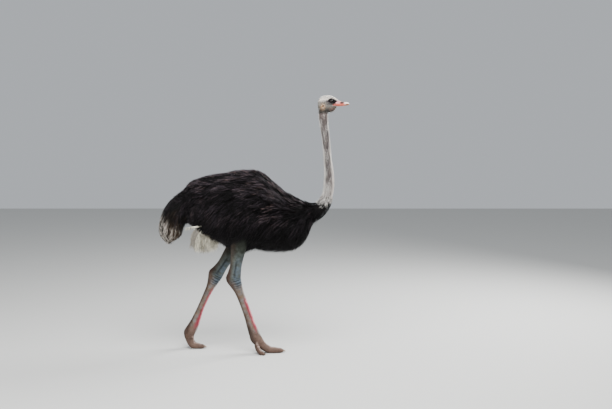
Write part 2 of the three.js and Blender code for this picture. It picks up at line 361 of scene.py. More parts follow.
def onSurface(s, theta, height):  # a point at a height above the coat's outer surface
    s, theta, height = np.broadcast_arrays(np.asarray(s, float), theta, height)
    rows = rowOf(s)
    i = rows.astype(int)
    centre, up = (mixed(surface[key][i], surface[key][i + 1], rows - i) for key in ("centre", "up"))
    beyond = np.minimum(s, 0)[..., None]  # past the tail's tip the spine runs on straight
    centre = centre + beyond * normalised(surface["centre"][1] - surface["centre"][0])
    heading = normalised(up) * np.sin(theta)[..., None]
    heading[..., 1] += np.cos(theta)
    place = centre + heading * (radiusAt(s, theta) + height)[..., None]
    x, z = place[..., 0], place[..., 2]
    loose = bump(x, 0.07, 0.10) + bump(x, -0.55, 0.09)  # over the shoulder and the rump
    place[..., 2] += 0.018 * loose * smoothStep(1.20, 1.34, z)
    return place


def spineRun(x, z):  # how far along the spine its nearest point to (x, z) lies
    offsets = surface["centre"][:, [0, 2]] - np.array([x, z])
    return float(surface["run"][np.argmin((offsets ** 2).sum(1))])


rumpRun = spineRun(-0.50, 1.15)
breastRun = spineRun(0.36, 1.04)
collarRun = spineRun(0.505, 1.122)
collarTop = spineRun(0.565, 1.20)
neckTop = spineRun(0.543, 1.868)
report(f"coat surface measured: {neckTop:.2f} m from tail to nape")


# Skin

coatDepth = {  # metres from the coat's outer surface down to the skin, by distance along the spine
    "at": (0.0, 0.15, rumpRun, 0.9, breastRun, collarRun, collarTop, collarTop + 0.12, neckTop),
    "deep": (0.030, 0.042, 0.050, 0.050, 0.048, 0.028, 0.014, 0.006, 0.005),
}
bareSkin = {"from": 0.06, "trunkStep": 0.03, "neckStep": 0.0045, "around": 56}


def depthAt(s, theta):
    return np.minimum(np.interp(s, coatDepth["at"], coatDepth["deep"]), 0.55 * radiusAt(s, theta))


def shell(name, runs, lift=0.0):  # a closed tube at the skin's depth along part of the spine
    s, t = np.meshgrid(runs, angles(bareSkin["around"]), indexing="ij")
    grid = onSurface(s, t, lift - depthAt(s, t))
    return tubeMesh(name, grid, [grid[0].mean(0), grid[-1].mean(0)])


trunkAndNeck = shell("trunkAndNeck", np.concatenate([
    np.arange(bareSkin["from"], collarRun, bareSkin["trunkStep"]),
    np.arange(collarRun, neckTop - 0.02, bareSkin["neckStep"]),
]))

head = {
    "stations": [  # x, top, bottom, half width; bare skin, a few millimetres inside the down
        (0.5015, 1.9460, 1.9100, 0.0160), (0.5060, 1.9640, 1.8960, 0.0270), (0.5180, 1.9815, 1.8870, 0.0350),
        (0.5450, 1.9955, 1.8830, 0.0405), (0.5700, 1.9990, 1.8790, 0.0425), (0.5900, 1.9985, 1.8780, 0.0430),
        (0.6120, 1.9940, 1.8820, 0.0415), (0.6300, 1.9865, 1.8935, 0.0370), (0.6430, 1.9790, 1.9080, 0.0320),
        (0.6560, 1.9700, 1.9190, 0.0280),
    ],
    "features": [  # how far out, then the middle and the reach along x and along z
        (0.0058, 0.613, 0.022, 1.9825, 0.0070),  # brow
        (-0.0022, 0.632, 0.008, 1.953, 0.008),  # lores
        (0.0026, 0.590, 0.020, 1.917, 0.013),  # cheek
        (-0.0022, 0.566, 0.010, 1.950, 0.030),  # temple
    ],
    "skull": {"rings": 60, "around": 56, "squareness": 2.15},
    "stub": (-0.06, 0.045, 30),  # along the spine from the nape, and how many rings
    "stubLift": 0.0003,
    "voxel": 0.0017, "smoothing": 14,
    "eye": (0.611, 0.0260, 1.961),
    "eyeRadius": 0.0238,
    "lidThickness": 0.0016,
    "opening": (0.0176, 0.0118),  # half length and half height of the gap between the lids
    "openingTilt": math.radians(-8),
    "ear": (0.543, 1.920),
    "gape": (0.6150, 1.9315),  # the corner of the mouth
}
earX, earZ = head["ear"]
gapeX, gapeZ = head["gape"]
lidRadius = head["eyeRadius"] + head["lidThickness"]


def eyeMiddle(hand):
    ex, ey, ez = head["eye"]
    return np.array([ex, hand * ey, ez])


def lidCurve(a, scale=1.0):  # x and z from the eye's middle, round the edge of the opening
    (wide, tall), tilt = head["opening"], head["openingTilt"]
    across, rise = scale * wide * np.cos(a), scale * tall * np.sin(a) * (1 - 0.25 * np.cos(a) ** 2)
    return across * math.cos(tilt) - rise * math.sin(tilt), across * math.sin(tilt) + rise * math.cos(tilt)


def mouthLine(x):
    return gapeZ + (x - gapeX) * 0.045


def billEdge(z):  # how far forward the face's skin reaches over the bill
    return (0.6405 + 0.0165 * smoothStep(1.952, 1.969, z) - 0.004 * bump(z, 1.944, 0.008)
            + 0.003 * smoothStep(1.93, 1.92, z))


def faceRelief(co):
    x, y, z = co.T
    flank = smoothStep(0.012, 0.026, np.abs(y))  # keeps features to the sides of the head
    ex, _, ez = head["eye"]
    pouch = bump(np.hypot(x - ex, z - ez), 0.031, 0.0065)
    push = -0.0042 * pouch * flank * smoothStep(-0.020, 0.004, ez - z + 0.006)  # under the eye
    for amount, atX, reachX, atZ, reachZ in head["features"]:
        push += amount * bump(x, atX, reachX) * bump(z, atZ, reachZ) * flank
    push += 0.0020 * bump(np.hypot((x - earX) * 1.1, z - earZ), 0.0135, 0.0040) * flank  # rim of the ear
    push -= 0.0095 * bump(np.hypot((x - earX) * 1.25, z - earZ), 0.0, 0.0068) * flank  # ear opening
    line, ahead = mouthLine(x), smoothStep(gapeX - 0.003, gapeX + 0.008, x)
    push -= 0.0034 * bump(z, line, 0.0016) * ahead * flank  # the mouth's line, back from the bill
    lips = bump(z, line + 0.0042, 0.0026) + bump(z, line - 0.0042, 0.0026)
    push += 0.0012 * lips * ahead * flank
    throat = smoothStep(1.915, 1.880, z) * smoothStep(0.57, 0.61, x)
    folds = np.sin(z * turn / 0.0085 + 260 * (x - 0.6) * (x - 0.5) / 0.1 + 40 * y)
    wrinkles = np.sin(x * turn / 0.0055 + 2.5 * np.sin(z * 380))
    return push + 0.0005 * folds * throat + 0.0002 * wrinkles * smoothStep(1.99, 1.95, z) * flank


def liddedEye(co, hand):  # lids stand on the eyeball, and the skin dives under it inside the opening
    (wide, tall), tilt, radius = head["opening"], head["openingTilt"], head["eyeRadius"]
    away = co - eyeMiddle(hand)
    distance = np.linalg.norm(away, axis=1)
    onBall = away / np.maximum(distance, 1e-6)[:, None] * radius
    across = onBall[:, 0] * math.cos(tilt) + onBall[:, 2] * math.sin(tilt)
    rise = -onBall[:, 0] * math.sin(tilt) + onBall[:, 2] * math.cos(tilt)
    inside = (across / wide) ** 2 + (rise / (tall * (1 - 0.25 * (across / wide) ** 2))) ** 2
    near = (onBall[:, 1] * hand > 0) & (distance < radius + 0.016)
    outer = lidRadius + 0.0012 * bump(np.sqrt(inside), 1.12, 0.14)
    under = np.where(near & (inside < 1), np.minimum(distance, radius * 0.86), distance)
    reach = np.where(near & (inside >= 1), np.maximum(distance, outer), under)
    return eyeMiddle(hand) + away * (reach / np.maximum(distance, 1e-6))[:, None]


def headSkin(settings):
    stations = [(x, 0, (top + bottom) / 2, side, (top - bottom) / 2, (top - bottom) / 2)
                for x, top, bottom, side in settings["stations"]]
    skull = loft("skull", stations, upright=True, **settings["skull"])
    start, end, count = settings["stub"]
    stub = shell("stub", np.linspace(neckTop + start, neckTop + end, count), settings["stubLift"])
    made = joined("headSkin", [skull, stub])
    modified(made, "REMESH", mode="VOXEL", voxel_size=settings["voxel"])
    modified(made, "SMOOTH", factor=0.5, iterations=settings["smoothing"])
    x, _, z = positionsOf(made).T
    nape = bump(z, 1.897, 0.019) * smoothStep(0.575, 0.535, x)  # it runs into the neck without a ledge
    smoothedWhere(made, np.where(nape > 0.02, nape, 0), 0.9, 70)
    co = positionsOf(made)
    co = co + normalsOf(made) * faceRelief(co)[:, None]
    x, y, z = co.T
    edge = billEdge(z)
    sunk = smoothStep(edge, edge + 0.0045, x)[:, None]  # ahead of the edge the face dives into the bill
    co = co * (1 - sunk) + np.stack([x, y * 0.55, 1.940 + (z - 1.940) * 0.55], 1) * sunk
    for hand in handOf.values():
        co = liddedEye(co, hand)
    setPositions(made, co)
    return made


legShape = {  # millimetres from the hock along each bone: reach across, to the front and to the rear
    "shank": [(400, 78, 94, 88), (280, 56, 66, 64), (180, 43, 52, 50), (105, 37, 46, 44),
              (45, 38, 50, 52), (5, 41, 54, 61)],
    "tarsus": [(48, 34, 45, 45), (105, 24, 32, 31), (190, 20, 25.5, 26.5), (300, 20, 25, 25.5),
               (390, 24, 29, 29), (460, 32, 37, 37), (510, 36, 43, 42)],
    "bigToe": [(33, 34, 31), (31, 24, 29), (29.5, 20, 25), (24, 16, 20)],
    "toeEnd": [(10, -1.5, 21, 12.5, 13.5), (16, -3, 15, 9, 10), (19, -4, 6, 4, 5)],  # ahead, up, then reaches
    "smallToe": [(21, 23, 23), (20, 20, 20), (18.5, 16, 21), (16.5, 13, 17), (12, 9, 13)],
    "rings": 430, "around": 40,
    "toeRings": 60, "toeAround": 30,
    "easing": 120,
    "seam": 0.007,  # the crease where the outer toe leaves the foot is smoothed this far out
}
legs = {  # stout: how much further the tarsus reaches to the front, where, and over what length
    "right": {
        "knee": (-64, -118, 1140), "hock": (-150, -92, 588), "joint": (27, -68, 110),
        "bow": -11, "stout": (10, 310, 190),
        "bigToe": [(66, -66, 58), (122, -63, 27), (178, -61, 20), (214, -60, 17)],
        "smallToe": [(30, -98, 58), (50, -124, 24), (72, -141, 15), (88, -152, 12)],
    },
    "left": {
        "knee": (6, 118, 1060), "hock": (-310, 92, 588), "joint": (-524, 74, 128),
        "bow": 2, "stout": (10, 425, 80),
        "bigToe": [(-520, 73, 72), (-496, 71, 32), (-452, 69, 20), (-418, 68, 17)],
        "smallToe": [(-512, 104, 66), (-494, 124, 28), (-470, 138, 15), (-452, 148, 12)],
    },
}


def legPoint(side, name):  # in metres
    return np.array(legs[side][name], float) / 1000


def pointAlong(start, end, distance):
    start, end = np.array(start, float), np.array(end, float)
    return start + normalised(end - start) * distance


def hockFolds(d, angle):  # the skin gathers in rings over the front and sides of the hock
    wave = np.sin(d * turn / 0.0195 + 1.1 * np.sin(angle * 2) + 0.8 * np.sin(d * 110))
    ridge = 1 - 2 * smoothStep(0.25, -0.75, wave)
    return ridge * bump(d, 0.026, 0.050) * smoothStep(-0.7, 0.2, np.cos(angle))


def shankCords(d, angle):  # two tendons stand out on each side above the hock
    away = np.abs(angle)
    cord = bump(away, 1.18, 0.13) + bump(away, 1.78, 0.13) - bump(away, 1.48, 0.12)
    return cord * smoothStep(-0.19, -0.11, d) * smoothStep(-0.01, -0.05, d)


def legRelief(co, normal, d, angle):
    rear, flanks, away = smoothStep(-0.1, -0.8, np.cos(angle)), np.abs(np.sin(angle)), np.abs(angle)
    toes = smoothStep(0.515, 0.545, d) * smoothStep(0.010, 0.022, co[:, 2])
    return sum([
        0.0019 * hockFolds(d, angle),
        0.0030 * shankCords(d, angle),
        0.0010 * np.sin(d * turn / 0.0125) * bump(d, 0.02, 0.05) * rear,
        0.0040 * bump(d, -0.012, 0.026) * flanks ** 3,  # knuckles of the hock
        # hollows beside the heel cord, above the hock and below it
        -0.0030 * bump(away, 2.05, 0.32) * smoothStep(-0.26, -0.12, d) * smoothStep(0.0, -0.03, d),
        -0.0032 * bump(away, 1.95, 0.30) * smoothStep(0.05, 0.12, d) * smoothStep(0.43, 0.34, d),
        0.0016 * bump(away, 0.0, 0.35) * smoothStep(0.04, 0.10, d) * smoothStep(0.48, 0.42, d),  # shin
        0.0024 * bump(d, 0.505, 0.022) * flanks ** 2,  # ankle joint
        0.0011 * np.sin(d * turn / 0.0105) * toes * smoothStep(-0.2, 0.6, normal[:, 2]),
        0.0008 * np.sin(co[:, 0] * 520 + 3 * np.sin(co[:, 2] * 300)) * rear * smoothStep(0.30, 0.48, d),
    ])


def legSkin(side):
    bones, shape = legs[side], legShape
    knee, hock, joint = bones["knee"], bones["hock"], bones["joint"]
    more, middle, reach = bones["stout"]
    bow = [bones["bow"] * bump(row[0], 420, 130) for row in shape["tarsus"]]
    end = np.array(bones["bigToe"][-1], float)
    stations = [(*pointAlong(hock, knee, d), *size) for d, *size in shape["shank"]]
    stations += [(*(pointAlong(hock, joint, d) + [shift, 0, 0]), w, f + more * bump(d, middle, reach), r)
                 for (d, w, f, r), shift in zip(shape["tarsus"], bow)]
    stations += [(*at, *size) for at, size in zip(bones["bigToe"], shape["bigToe"])]
    stations += [(*(end + [on, 0, up]), *size) for on, up, *size in shape["toeEnd"]]
    line = np.array(stations) / 1000
    limb = loft("limb", line, shape["rings"], shape["around"], easing=shape["easing"])
    roots = [pointAlong(hock, joint, 510)] + bones["smallToe"]
    toe = np.array([(*at, *size) for at, size in zip(roots, shape["smallToe"])])
    width = (toe[0, 1] - toe[-1, 1], toe[-1, 0] - toe[0, 0], 0)
    small = loft("small", toe / 1000, shape["toeRings"], shape["toeAround"], width=width)
    made = softlyUnited("leg_" + side, limb, small, shape["seam"])
    co, normal = positionsOf(made), normalsOf(made)
    axis = throughPoints(line[:, :3], 400)
    run = runAlong(axis)
    atHock = np.argmin(((axis - legPoint(side, "hock")) ** 2).sum(1))
    front = normalised(np.cross(normalised(np.gradient(axis, axis=0)), np.array([0, 1.0, 0])))
    nearest = np.concatenate([((axis[None] - part[:, None]) ** 2).sum(2).argmin(1)
                              for part in np.array_split(co, 40)])
    away = co - axis[nearest]
    forward = (away * front[nearest]).sum(1)
    angle = np.arctan2(away[:, 1], forward)  # 0 at the shin, a half turn at the heel cord
    d = (run - run[atHock])[nearest]  # distance below the hock, negative above it
    co = co + normal * legRelief(co, normal, d, angle)[:, None]
    co[:, 2] = np.maximum(co[:, 2], 0.0004)  # the soles rest flat
    setPositions(made, co)
    return made


skin = united("skin", [trunkAndNeck, headSkin(head), legSkin("right"), legSkin("left")])
skin.data.shade_smooth()
skinPositions, skinNormals, skinCorners = positionsOf(skin), normalsOf(skin), trianglesOf(skin)
report(f"skin: {len(skinCorners)} triangles")


# Colours of the bare skin, by part of the body

skinTints = {
    # painted shade: the skin under the coat is near-black, for the shade that falls between the plumes
    "shadeUnderPlumes": "#191515",
    "neck": "#746b67",
    "neckGrey": "#4d4849",
    "neckPaleAndRimLit": "#cfc8c1",
    "neckPink": "#a9948c",
    "collar": "#1b1819",
    "crown": "#d2c8bd",
    "cheek": "#605b54",
    "throat": "#96695c",
    "eyeRing": "#0d0a0c",
    "lores": "#2d252b",
    "lips": "#b8554e",
    "mouthLine": "#5a2522",
    "ear": "#b08a63",
    "earHoleShade": "#2a1a14",
    "shankBodyShadow": "#272a24",
    "shank": "#494e48",
    "shankRear": "#3d332c",
    "hock": "#505b64",
    "hockRear": "#38261f",
    "shin": "#903844",
    "tarsus": "#6d5a49",
    "tarsusGrey": "#71767c",
    "tarsusRear": "#3f3027",
    "foot": "#5f4b41",
    "sole": "#4a4038",
}
scutes = {
    "pitch": 0.0136, "from": 0.070, "to": 0.500,
    "size": (0.0152, 0.036, 0.0015), "unevenness": 0.05,  # length, width and height; and how much they vary
    "redFrom": {"right": 0.145, "left": 0.085},
    "toePitch": 0.0088, "toeWidths": {"bigToe": 0.038, "smallToe": 0.024},
    "seeds": {"right": 51, "left": 52},
}
neckLevels = np.arange(1.20, 1.89, 0.02)
ahead = skinPositions[skinPositions[:, 0] > 0.5]
neckWidths = [np.abs(ahead[np.abs(ahead[:, 2] - level) < 0.008, 1]).max() for level in neckLevels]


def neckSide(points):  # 0 along the neck's front and back, 1 on its two sides
    share = np.abs(points[..., 1]) / np.interp(points[..., 2], neckLevels, neckWidths)
    high = smoothStep(1.52, 1.70, points[..., 2])  # the grey wraps further round under the head
    return smoothStep(0.40 - 0.22 * high, 0.92 - 0.30 * high, share)


def collarEdge(points):  # how high the black reaches, with uneven tongues round the neck
    x, around = points[..., 0], np.arctan2(points[..., 1], points[..., 0] - 0.555)
    lumps = 0.004 * np.sin(3 * around + 1) + 0.003 * np.sin(7 * around) + 0.003 * np.sin(13 * around + 2)
    return 1.186 - 0.008 * bump(x, 0.550, 0.030) + lumps + 2 * np.maximum(0, 0.512 - x)


def eyeMask(x, z):  # the dark patch drawn out ahead of the eye, behind it, and under the lower lid
    ahead = bump(np.hypot((x - 0.642) * 0.55, (z - 1.957) * 1.1 + 0.3 * (x - 0.642)), 0, 0.0155)
    behind = bump(np.hypot((x - 0.577) * 0.52, (z - 1.957) * 1.1), 0, 0.0128)
    below = bump(np.hypot((x - 0.590) * 0.50, (z - 1.9390) * 1.2), 0, 0.0105)
    return np.maximum(np.maximum(ahead, behind), 0.85 * below)


def eyeDistance(x, z):  # from the eye's middle, in a lens longer than high that slants down to the front
    ex, _, ez = head["eye"]
    return np.hypot((x - ex) * 0.72, (z - ez + 0.12 * (x - ex)) * 1.22)


def neckSkinColour(co):
    z = co[:, 2]
    streak = grain(co * [1, 1, 0.12], 0.012, 3)
    neck = layered(
        skinTints, "neck",
        ("neckGrey", 0.5 + 0.5 * np.clip(streak, -1, 1)),
        ("neckPink", smoothStep(1.72, 1.90, z) * 0.4),
        # the pale front and back of the neck are partly the skin's own paler colour and partly a painted rim
        # highlight
        ("neckPaleAndRimLit", 0.8 * (1 - neckSide(co))),
    )
    above = smoothStep(-0.012, 0.012, z - collarEdge(co) + 0.012 * grain(co, 0.016, 4))
    return mixed(toLinear(skinTints["collar"]), neck, above)


def faceSkinColour(co):
    x, _, z = co.T
    line, ahead = mouthLine(x), smoothStep(gapeX - 0.004, gapeX + 0.006, x)
    return layered(
        skinTints, "cheek",
        ("crown", smoothStep(1.945, 1.975, z)),
        ("throat", smoothStep(1.920, 1.888, z) * smoothStep(0.560, 0.615, x) * 0.8),
        ("lores", eyeMask(x, z)),
        ("ear", bump(np.hypot(x - 0.538, (z - 1.918) * 0.75), 0, 0.015)),
        # painted shade inside the ear opening
        ("earHoleShade", bump(np.hypot((x - earX) * 1.25, z - earZ), 0, 0.0055)),
        ("lips", bump(z, line, 0.0060) * ahead),
        # the dark line along the mouth is painted shade in its crease
        ("mouthLine", bump(z, line, 0.0014) * ahead),
        ("eyeRing", smoothStep(0.0270, 0.0205, eyeDistance(x, z))),
    )


def legSkinColour(co, side):
    x, y, z = co.T
    hock, knee, joint = (legPoint(side, name) for name in ("hock", "knee", "joint"))
    up, down = knee - hock, joint - hock
    low = z < hock[2]
    bone = np.where(low[:, None], down, up)
    along = ((co - hock) * bone).sum(1) / np.linalg.norm(bone, axis=1)
    d = np.where(low, along, -along)  # below the hock, negative above
    forward = x - hock[0] - along * bone[:, 0] / np.linalg.norm(bone, axis=1)
    axisY = hock[1] + down[1] * np.clip(d, 0, 0.5) / 0.51 + up[1] * np.clip(-d, 0, 0.5) / 0.56
    angle = np.arctan2(y - axisY, forward)
    front = smoothStep(0.004, 0.022, forward)
    patch = grain(co, 0.045, 8)
    redFrom = scutes["redFrom"][side]
    shank = layered(
        skinTints, "shank",
        # painted shadow of the body: the shank darker towards its top
        ("shankBodyShadow", smoothStep(-0.13, -0.27, d + 0.03 * patch)),
        ("shankRear", smoothStep(0.0, -0.045, forward) * 0.75),
        ("hock", smoothStep(-0.24, -0.08, d) * smoothStep(-0.03, 0.02, forward)
         * np.clip(0.72 + 0.5 * patch, 0, 1)),
        ("hockRear", bump(d, -0.01, 0.09) * smoothStep(-0.012, -0.042, forward) * 0.9),
    )
    tarsus = layered(
        skinTints, "tarsus",
        ("tarsusGrey", np.clip(0.5 + 0.5 * patch, 0, 1) * 0.55),
        ("tarsusRear", smoothStep(-0.002, -0.020, forward) * 0.8),
        ("hock", smoothStep(0.11, 0.03, d) * smoothStep(-0.02, 0.02, forward)),
        ("shin", front * smoothStep(redFrom, redFrom + 0.07, d) * smoothStep(0.50, 0.42, d)),
        ("foot", smoothStep(0.40, 0.50, d)),
    )
    leg = mixed(shank, tarsus, smoothStep(-0.01, 0.03, d))
    # painted shade in the ankle's crease
    leg = mixed(leg, leg * 0.5, bump(z, 0.083, 0.007) * bump(x, joint[0], 0.06) * 0.8)  # the ankle's crease
    leg = layered(skinTints, leg, ("sole", smoothStep(0.007, 0.001, z)))
    # painted shade in the grooves between the hock's folds and beside the tendons
    creaseShade = smoothStep(0.0, -0.8, hockFolds(d, angle)) + smoothStep(0.1, -0.6, shankCords(d, angle))
    leg = mixed(leg, leg * 0.34, np.clip(creaseShade, 0, 1))
    # painted shade: the rear of the lower tarsus and the foot darker
    leg = mixed(leg, leg * 0.55, smoothStep(0.004, -0.022, forward) * smoothStep(0.36, 0.42, d))
    dusty = smoothStep(0.1, 0.9, grain(co, 0.050, 15) + 0.5 * grain(co, 0.013, 16) - 0.9 * front)
    return mixed(leg, leg * [0.66, 0.58, 0.52], dusty * 0.75)


def skinColours(co):
    x, y, z = co.T
    onNeck, onHead = (x > 0.44) & (z > 1.0), (z > 1.872) & (x > 0.49)
    # away from the neck, head and legs the skin is near-black, a painted shade under the coat
    colour = np.where(onNeck[:, None], neckSkinColour(co), toLinear(skinTints["shadeUnderPlumes"]))
    colour = np.where(onHead[:, None], faceSkinColour(co), colour)
    for side, hand in handOf.items():
        onLeg = (y * hand > 0) & (z < 0.93)
        colour = np.where(onLeg[:, None], legSkinColour(co, side), colour)
    return np.clip(colour, 0, 1)


scaly = smoothStep(0.95, 0.90, skinPositions[:, 2]) * (skinPositions[:, 0] < 0.44)
setColours(skin, skinColours(skinPositions))
setAttribute(skin, "scaly", "FLOAT", scaly)


# Materials

def newMaterial(name, constants):  # the constants are set on the shader's own sockets
    material = bpy.data.materials.new(name)
    material.use_nodes = True
    shader = material.node_tree.nodes["Principled BSDF"]
    for socket, value in constants.items():
        shader.inputs[socket].default_value = value
    return material, material.node_tree, shader


def addNode(tree, kind, inputs=(), **settings):  # inputs hold values, or sockets to link from
    node = tree.nodes.new(kind)
    for key, value in settings.items():
        setattr(node, key, value)
    for key, value in dict(inputs).items():
        if isinstance(value, bpy.types.NodeSocket):
            tree.links.new(value, node.inputs[key])
        else:
            node.inputs[key].default_value = value
    return node.outputs


def tintVaried(tree, shader, noise, low, high, shade=None):  # the piece's tint, varied by noise and a shade
    tinted = addNode(tree, "ShaderNodeAttribute", attribute_name="tint")
    amount = addNode(tree, "ShaderNodeMapRange", {
        "Value": noise["Fac"], "From Min": 0.3, "From Max": 0.7, "To Min": low, "To Max": high})["Result"]
    if shade:
        amount = addNode(tree, "ShaderNodeMath", {0: shade, 1: amount}, operation="MULTIPLY")[0]
    painted = addNode(tree, "ShaderNodeVectorMath", {0: tinted["Color"], "Scale": amount}, operation="SCALE")
    tree.links.new(painted[0], shader.inputs["Base Color"])
    return tinted


def mattWhereDark(tree, tinted, shader, roughness):  # no gloss under the plumes and in the nostril's hollow
    matt = addNode(tree, "ShaderNodeMapRange", {
        "Value": tinted["Fac"], "From Min": 0.0, "From Max": 0.11, "To Min": 1.0, "To Max": roughness})
    tree.links.new(matt["Result"], shader.inputs["Roughness"])


def scaledSkin():
    # living skin: keratin scutes on the legs, thin wrinkled hide on the neck and head; a soft low gloss
    material, tree, shader = newMaterial("birdSkin", {"Specular IOR Level": 0.2})
    place = addNode(tree, "ShaderNodeTexCoord")["Object"]
    scaled = addNode(tree, "ShaderNodeAttribute", attribute_name="scaly")["Fac"]
    cell = {"Vector": place, "Scale": 1000 / 4.6}  # 4.6 mm scales
    edge = addNode(tree, "ShaderNodeTexVoronoi", cell, feature="DISTANCE_TO_EDGE")["Distance"]
    plate = addNode(tree, "ShaderNodeTexVoronoi", cell, feature="F1")["Color"]
    groove = addNode(tree, "ShaderNodeMapRange", {"Value": edge, "From Min": 0.0, "From Max": 0.16})["Result"]
    fine = addNode(tree, "ShaderNodeTexNoise", {"Vector": place, "Scale": 1000 / 9, "Detail": 6.0})  # 9 mm
    broad = addNode(tree, "ShaderNodeTexNoise", {"Vector": place, "Scale": 1000 / 45, "Detail": 3.0})  # 45 mm
    relief = addNode(tree, "ShaderNodeMix", {0: scaled, 2: fine["Fac"], 3: groove}, data_type="FLOAT")
    bumped = addNode(tree, "ShaderNodeBump", {"Height": relief[0], "Strength": 0.55, "Distance": 0.0012})
    dark = addNode(tree, "ShaderNodeMapRange", {"Value": groove, "To Min": 0.72, "To Max": 1.02})["Result"]
    own = addNode(tree, "ShaderNodeMapRange", {
        "Value": plate, "From Min": 0.2, "From Max": 0.8, "To Min": 0.84, "To Max": 1.16})["Result"]
    both = addNode(tree, "ShaderNodeMath", {0: dark, 1: own}, operation="MULTIPLY")[0]
    shade = addNode(tree, "ShaderNodeMix", {0: scaled, 2: 1.0, 3: both}, data_type="FLOAT")[0]
    tinted = tintVaried(tree, shader, broad, 0.78, 1.22, shade)
    tree.links.new(bumped[0], shader.inputs["Normal"])
    mattWhereDark(tree, tinted, shader, 0.5)
    return material


def hornMaterial(name, roughness=0.4):
    # keratin: thin translucent horn, smooth with faint growth lines
    material, tree, shader = newMaterial(name, {"IOR": 1.54, "Specular IOR Level": 0.35})
    place = addNode(tree, "ShaderNodeTexCoord")["Object"]
    lines = addNode(tree, "ShaderNodeTexNoise", {"Vector": place, "Scale": 1000 / 3, "Detail": 4.0})  # 3 mm
    tinted = tintVaried(tree, shader, lines, 0.86, 1.12)
    bumped = addNode(tree, "ShaderNodeBump", {"Height": lines["Fac"], "Strength": 0.25, "Distance": 0.0005})
    tree.links.new(bumped[0], shader.inputs["Normal"])
    mattWhereDark(tree, tinted, shader, roughness)
    return material


def featherMaterial(name, roughness, sheen, gloss):
    # feather keratin: a soft matt body with a faint silky sheen where fine barbs catch the light
    material, tree, shader = newMaterial(name, {
        "Roughness": roughness, "Specular IOR Level": gloss, "Sheen Weight": sheen, "Sheen Roughness": 0.5})
    place = addNode(tree, "ShaderNodeTexCoord")["Object"]
    strands = addNode(tree, "ShaderNodeTexNoise", {"Vector": place, "Scale": 1000 / 4, "Detail": 2.0})  # 4 mm
    tintVaried(tree, shader, strands, 0.75, 1.25)
    return material


def eyeMaterial():
    # a living eye: dark brown iris and black pupil under a wet cornea
    material, tree, shader = newMaterial("wetEye", {
        "Roughness": 0.3, "IOR": 1.38, "Specular IOR Level": 0.0,
        "Coat Weight": 0.5, "Coat Roughness": 0.02})
    tinted = addNode(tree, "ShaderNodeAttribute", attribute_name="tint")
    tree.links.new(tinted["Color"], shader.inputs["Base Color"])
    return material


birdSkin = scaledSkin()
report("skin coloured")


# Eyes

eyeShape = {
    "radius": 0.0236, "iris": 0.0150, "pupil": 0.0086, "bulge": 0.0011,
    "gaze": (0.16, -0.02),  # forward and up, for 1 to the side
    "around": 72, "front": 0.9, "frontRings": 44, "rearRings": 29,  # finer rings over the front of the ball
}
lidMargin = {"around": 120, "about": 12, "thick": 0.00135, "lift": 0.0004, "wider": 1.03}
eyeTints = {"white": "#1a1212", "irisPale": "#24130a", "irisDark": "#100805", "pupil": "#030202",
            "rim": "#100c0e", "rimPale": "#261e21"}


def eyeball(side, settings, material):
    forward, rise = settings["gaze"]
    out = normalised(np.array([forward, handOf[side], rise]))
    across = normalised(np.cross([0, 0, 1.0], out))
    up = np.cross(out, across)
    theta = np.concatenate([np.linspace(0, settings["front"], settings["frontRings"])[1:],
                            np.linspace(settings["front"], math.pi, settings["rearRings"])[1:-1]])
    t, p = np.meshgrid(theta, angles(settings["around"]), indexing="ij")
    middle = np.mean([list(corner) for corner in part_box("eye_" + side)], axis=0)
    radius = settings["radius"] + settings["bulge"] * bump(t, 0, 0.55)
    ring = (np.cos(t)[..., None] * out + np.sin(t)[..., None]
            * (np.cos(p)[..., None] * across + np.sin(p)[..., None] * up)) * radius[..., None]
    front = out * (settings["radius"] + settings["bulge"])
    made = tubeMesh("eyeball_" + side, ring + middle, [front + middle, -out * settings["radius"] + middle])
    away = positionsOf(made) - middle
    offAxis = np.linalg.norm(away - (away @ out)[:, None] * out, axis=1)
    inFront = away @ out > 0
    bearing = np.arctan2(away @ up, away @ across)
    spokes = grain(np.stack([bearing * 0.02, offAxis * 0.1, offAxis * 0], 1), 0.004, 5)
    iris = layered(eyeTints, "irisPale", ("irisDark", np.clip(0.5 + 0.5 * spokes, 0, 1)))
    within = smoothStep(settings["iris"], settings["iris"] - 0.001, offAxis) * inFront
    colour = mixed(toLinear(eyeTints["white"]), iris, within)
    pupil = smoothStep(settings["pupil"] + 0.0006, settings["pupil"], offAxis) * inFront
    setColours(made, layered(eyeTints, colour, ("pupil", pupil)))
    dressed(made, material, "eye", "eye_" + side)


def lidRim(side, settings, material):  # the bare margin of both lids, a closed ring that lies on the eyeball
    around, about = settings["around"], settings["about"]
    a, b = angles(around), angles(about)
    x, z = lidCurve(a, settings["wider"])
    radius = head["eyeRadius"] + settings["lift"]
    path = np.stack([x, handOf[side] * np.sqrt(radius ** 2 - x * x - z * z), z], 1)
    outward = normalised(path)
    tangent = normalised(np.roll(path, -1, 0) - np.roll(path, 1, 0))
    lateral = np.cross(outward, tangent)
    thick = settings["thick"] + 0.0004 * smoothStep(-0.2, 0.6, np.sin(a)) + 0.00012 * np.sin(a * 31)
    ring = outward[:, None] * np.cos(b)[None, :, None] + lateral[:, None] * 1.25 * np.sin(b)[None, :, None]
    vertices = (path[:, None] + ring * thick[:, None, None]).reshape(-1, 3) + eyeMiddle(handOf[side])
    made = closedMesh("lidRim_" + side, vertices, quadsBetween(around, about, endless=True))
    setColours(made, layered(eyeTints, "rim", ("rimPale", np.repeat(0.5 + 0.5 * np.sin(a * 17), about))))
    setAttribute(made, "scaly", "FLOAT", np.zeros(len(vertices)))
    dressed(made, material, "leg_skin")


wetEye = eyeMaterial()
for side in handOf:
    lidRim(side, lidMargin, birdSkin)
for side in handOf:
    eyeball(side, eyeShape, wetEye)
report("eyes")


# Bill

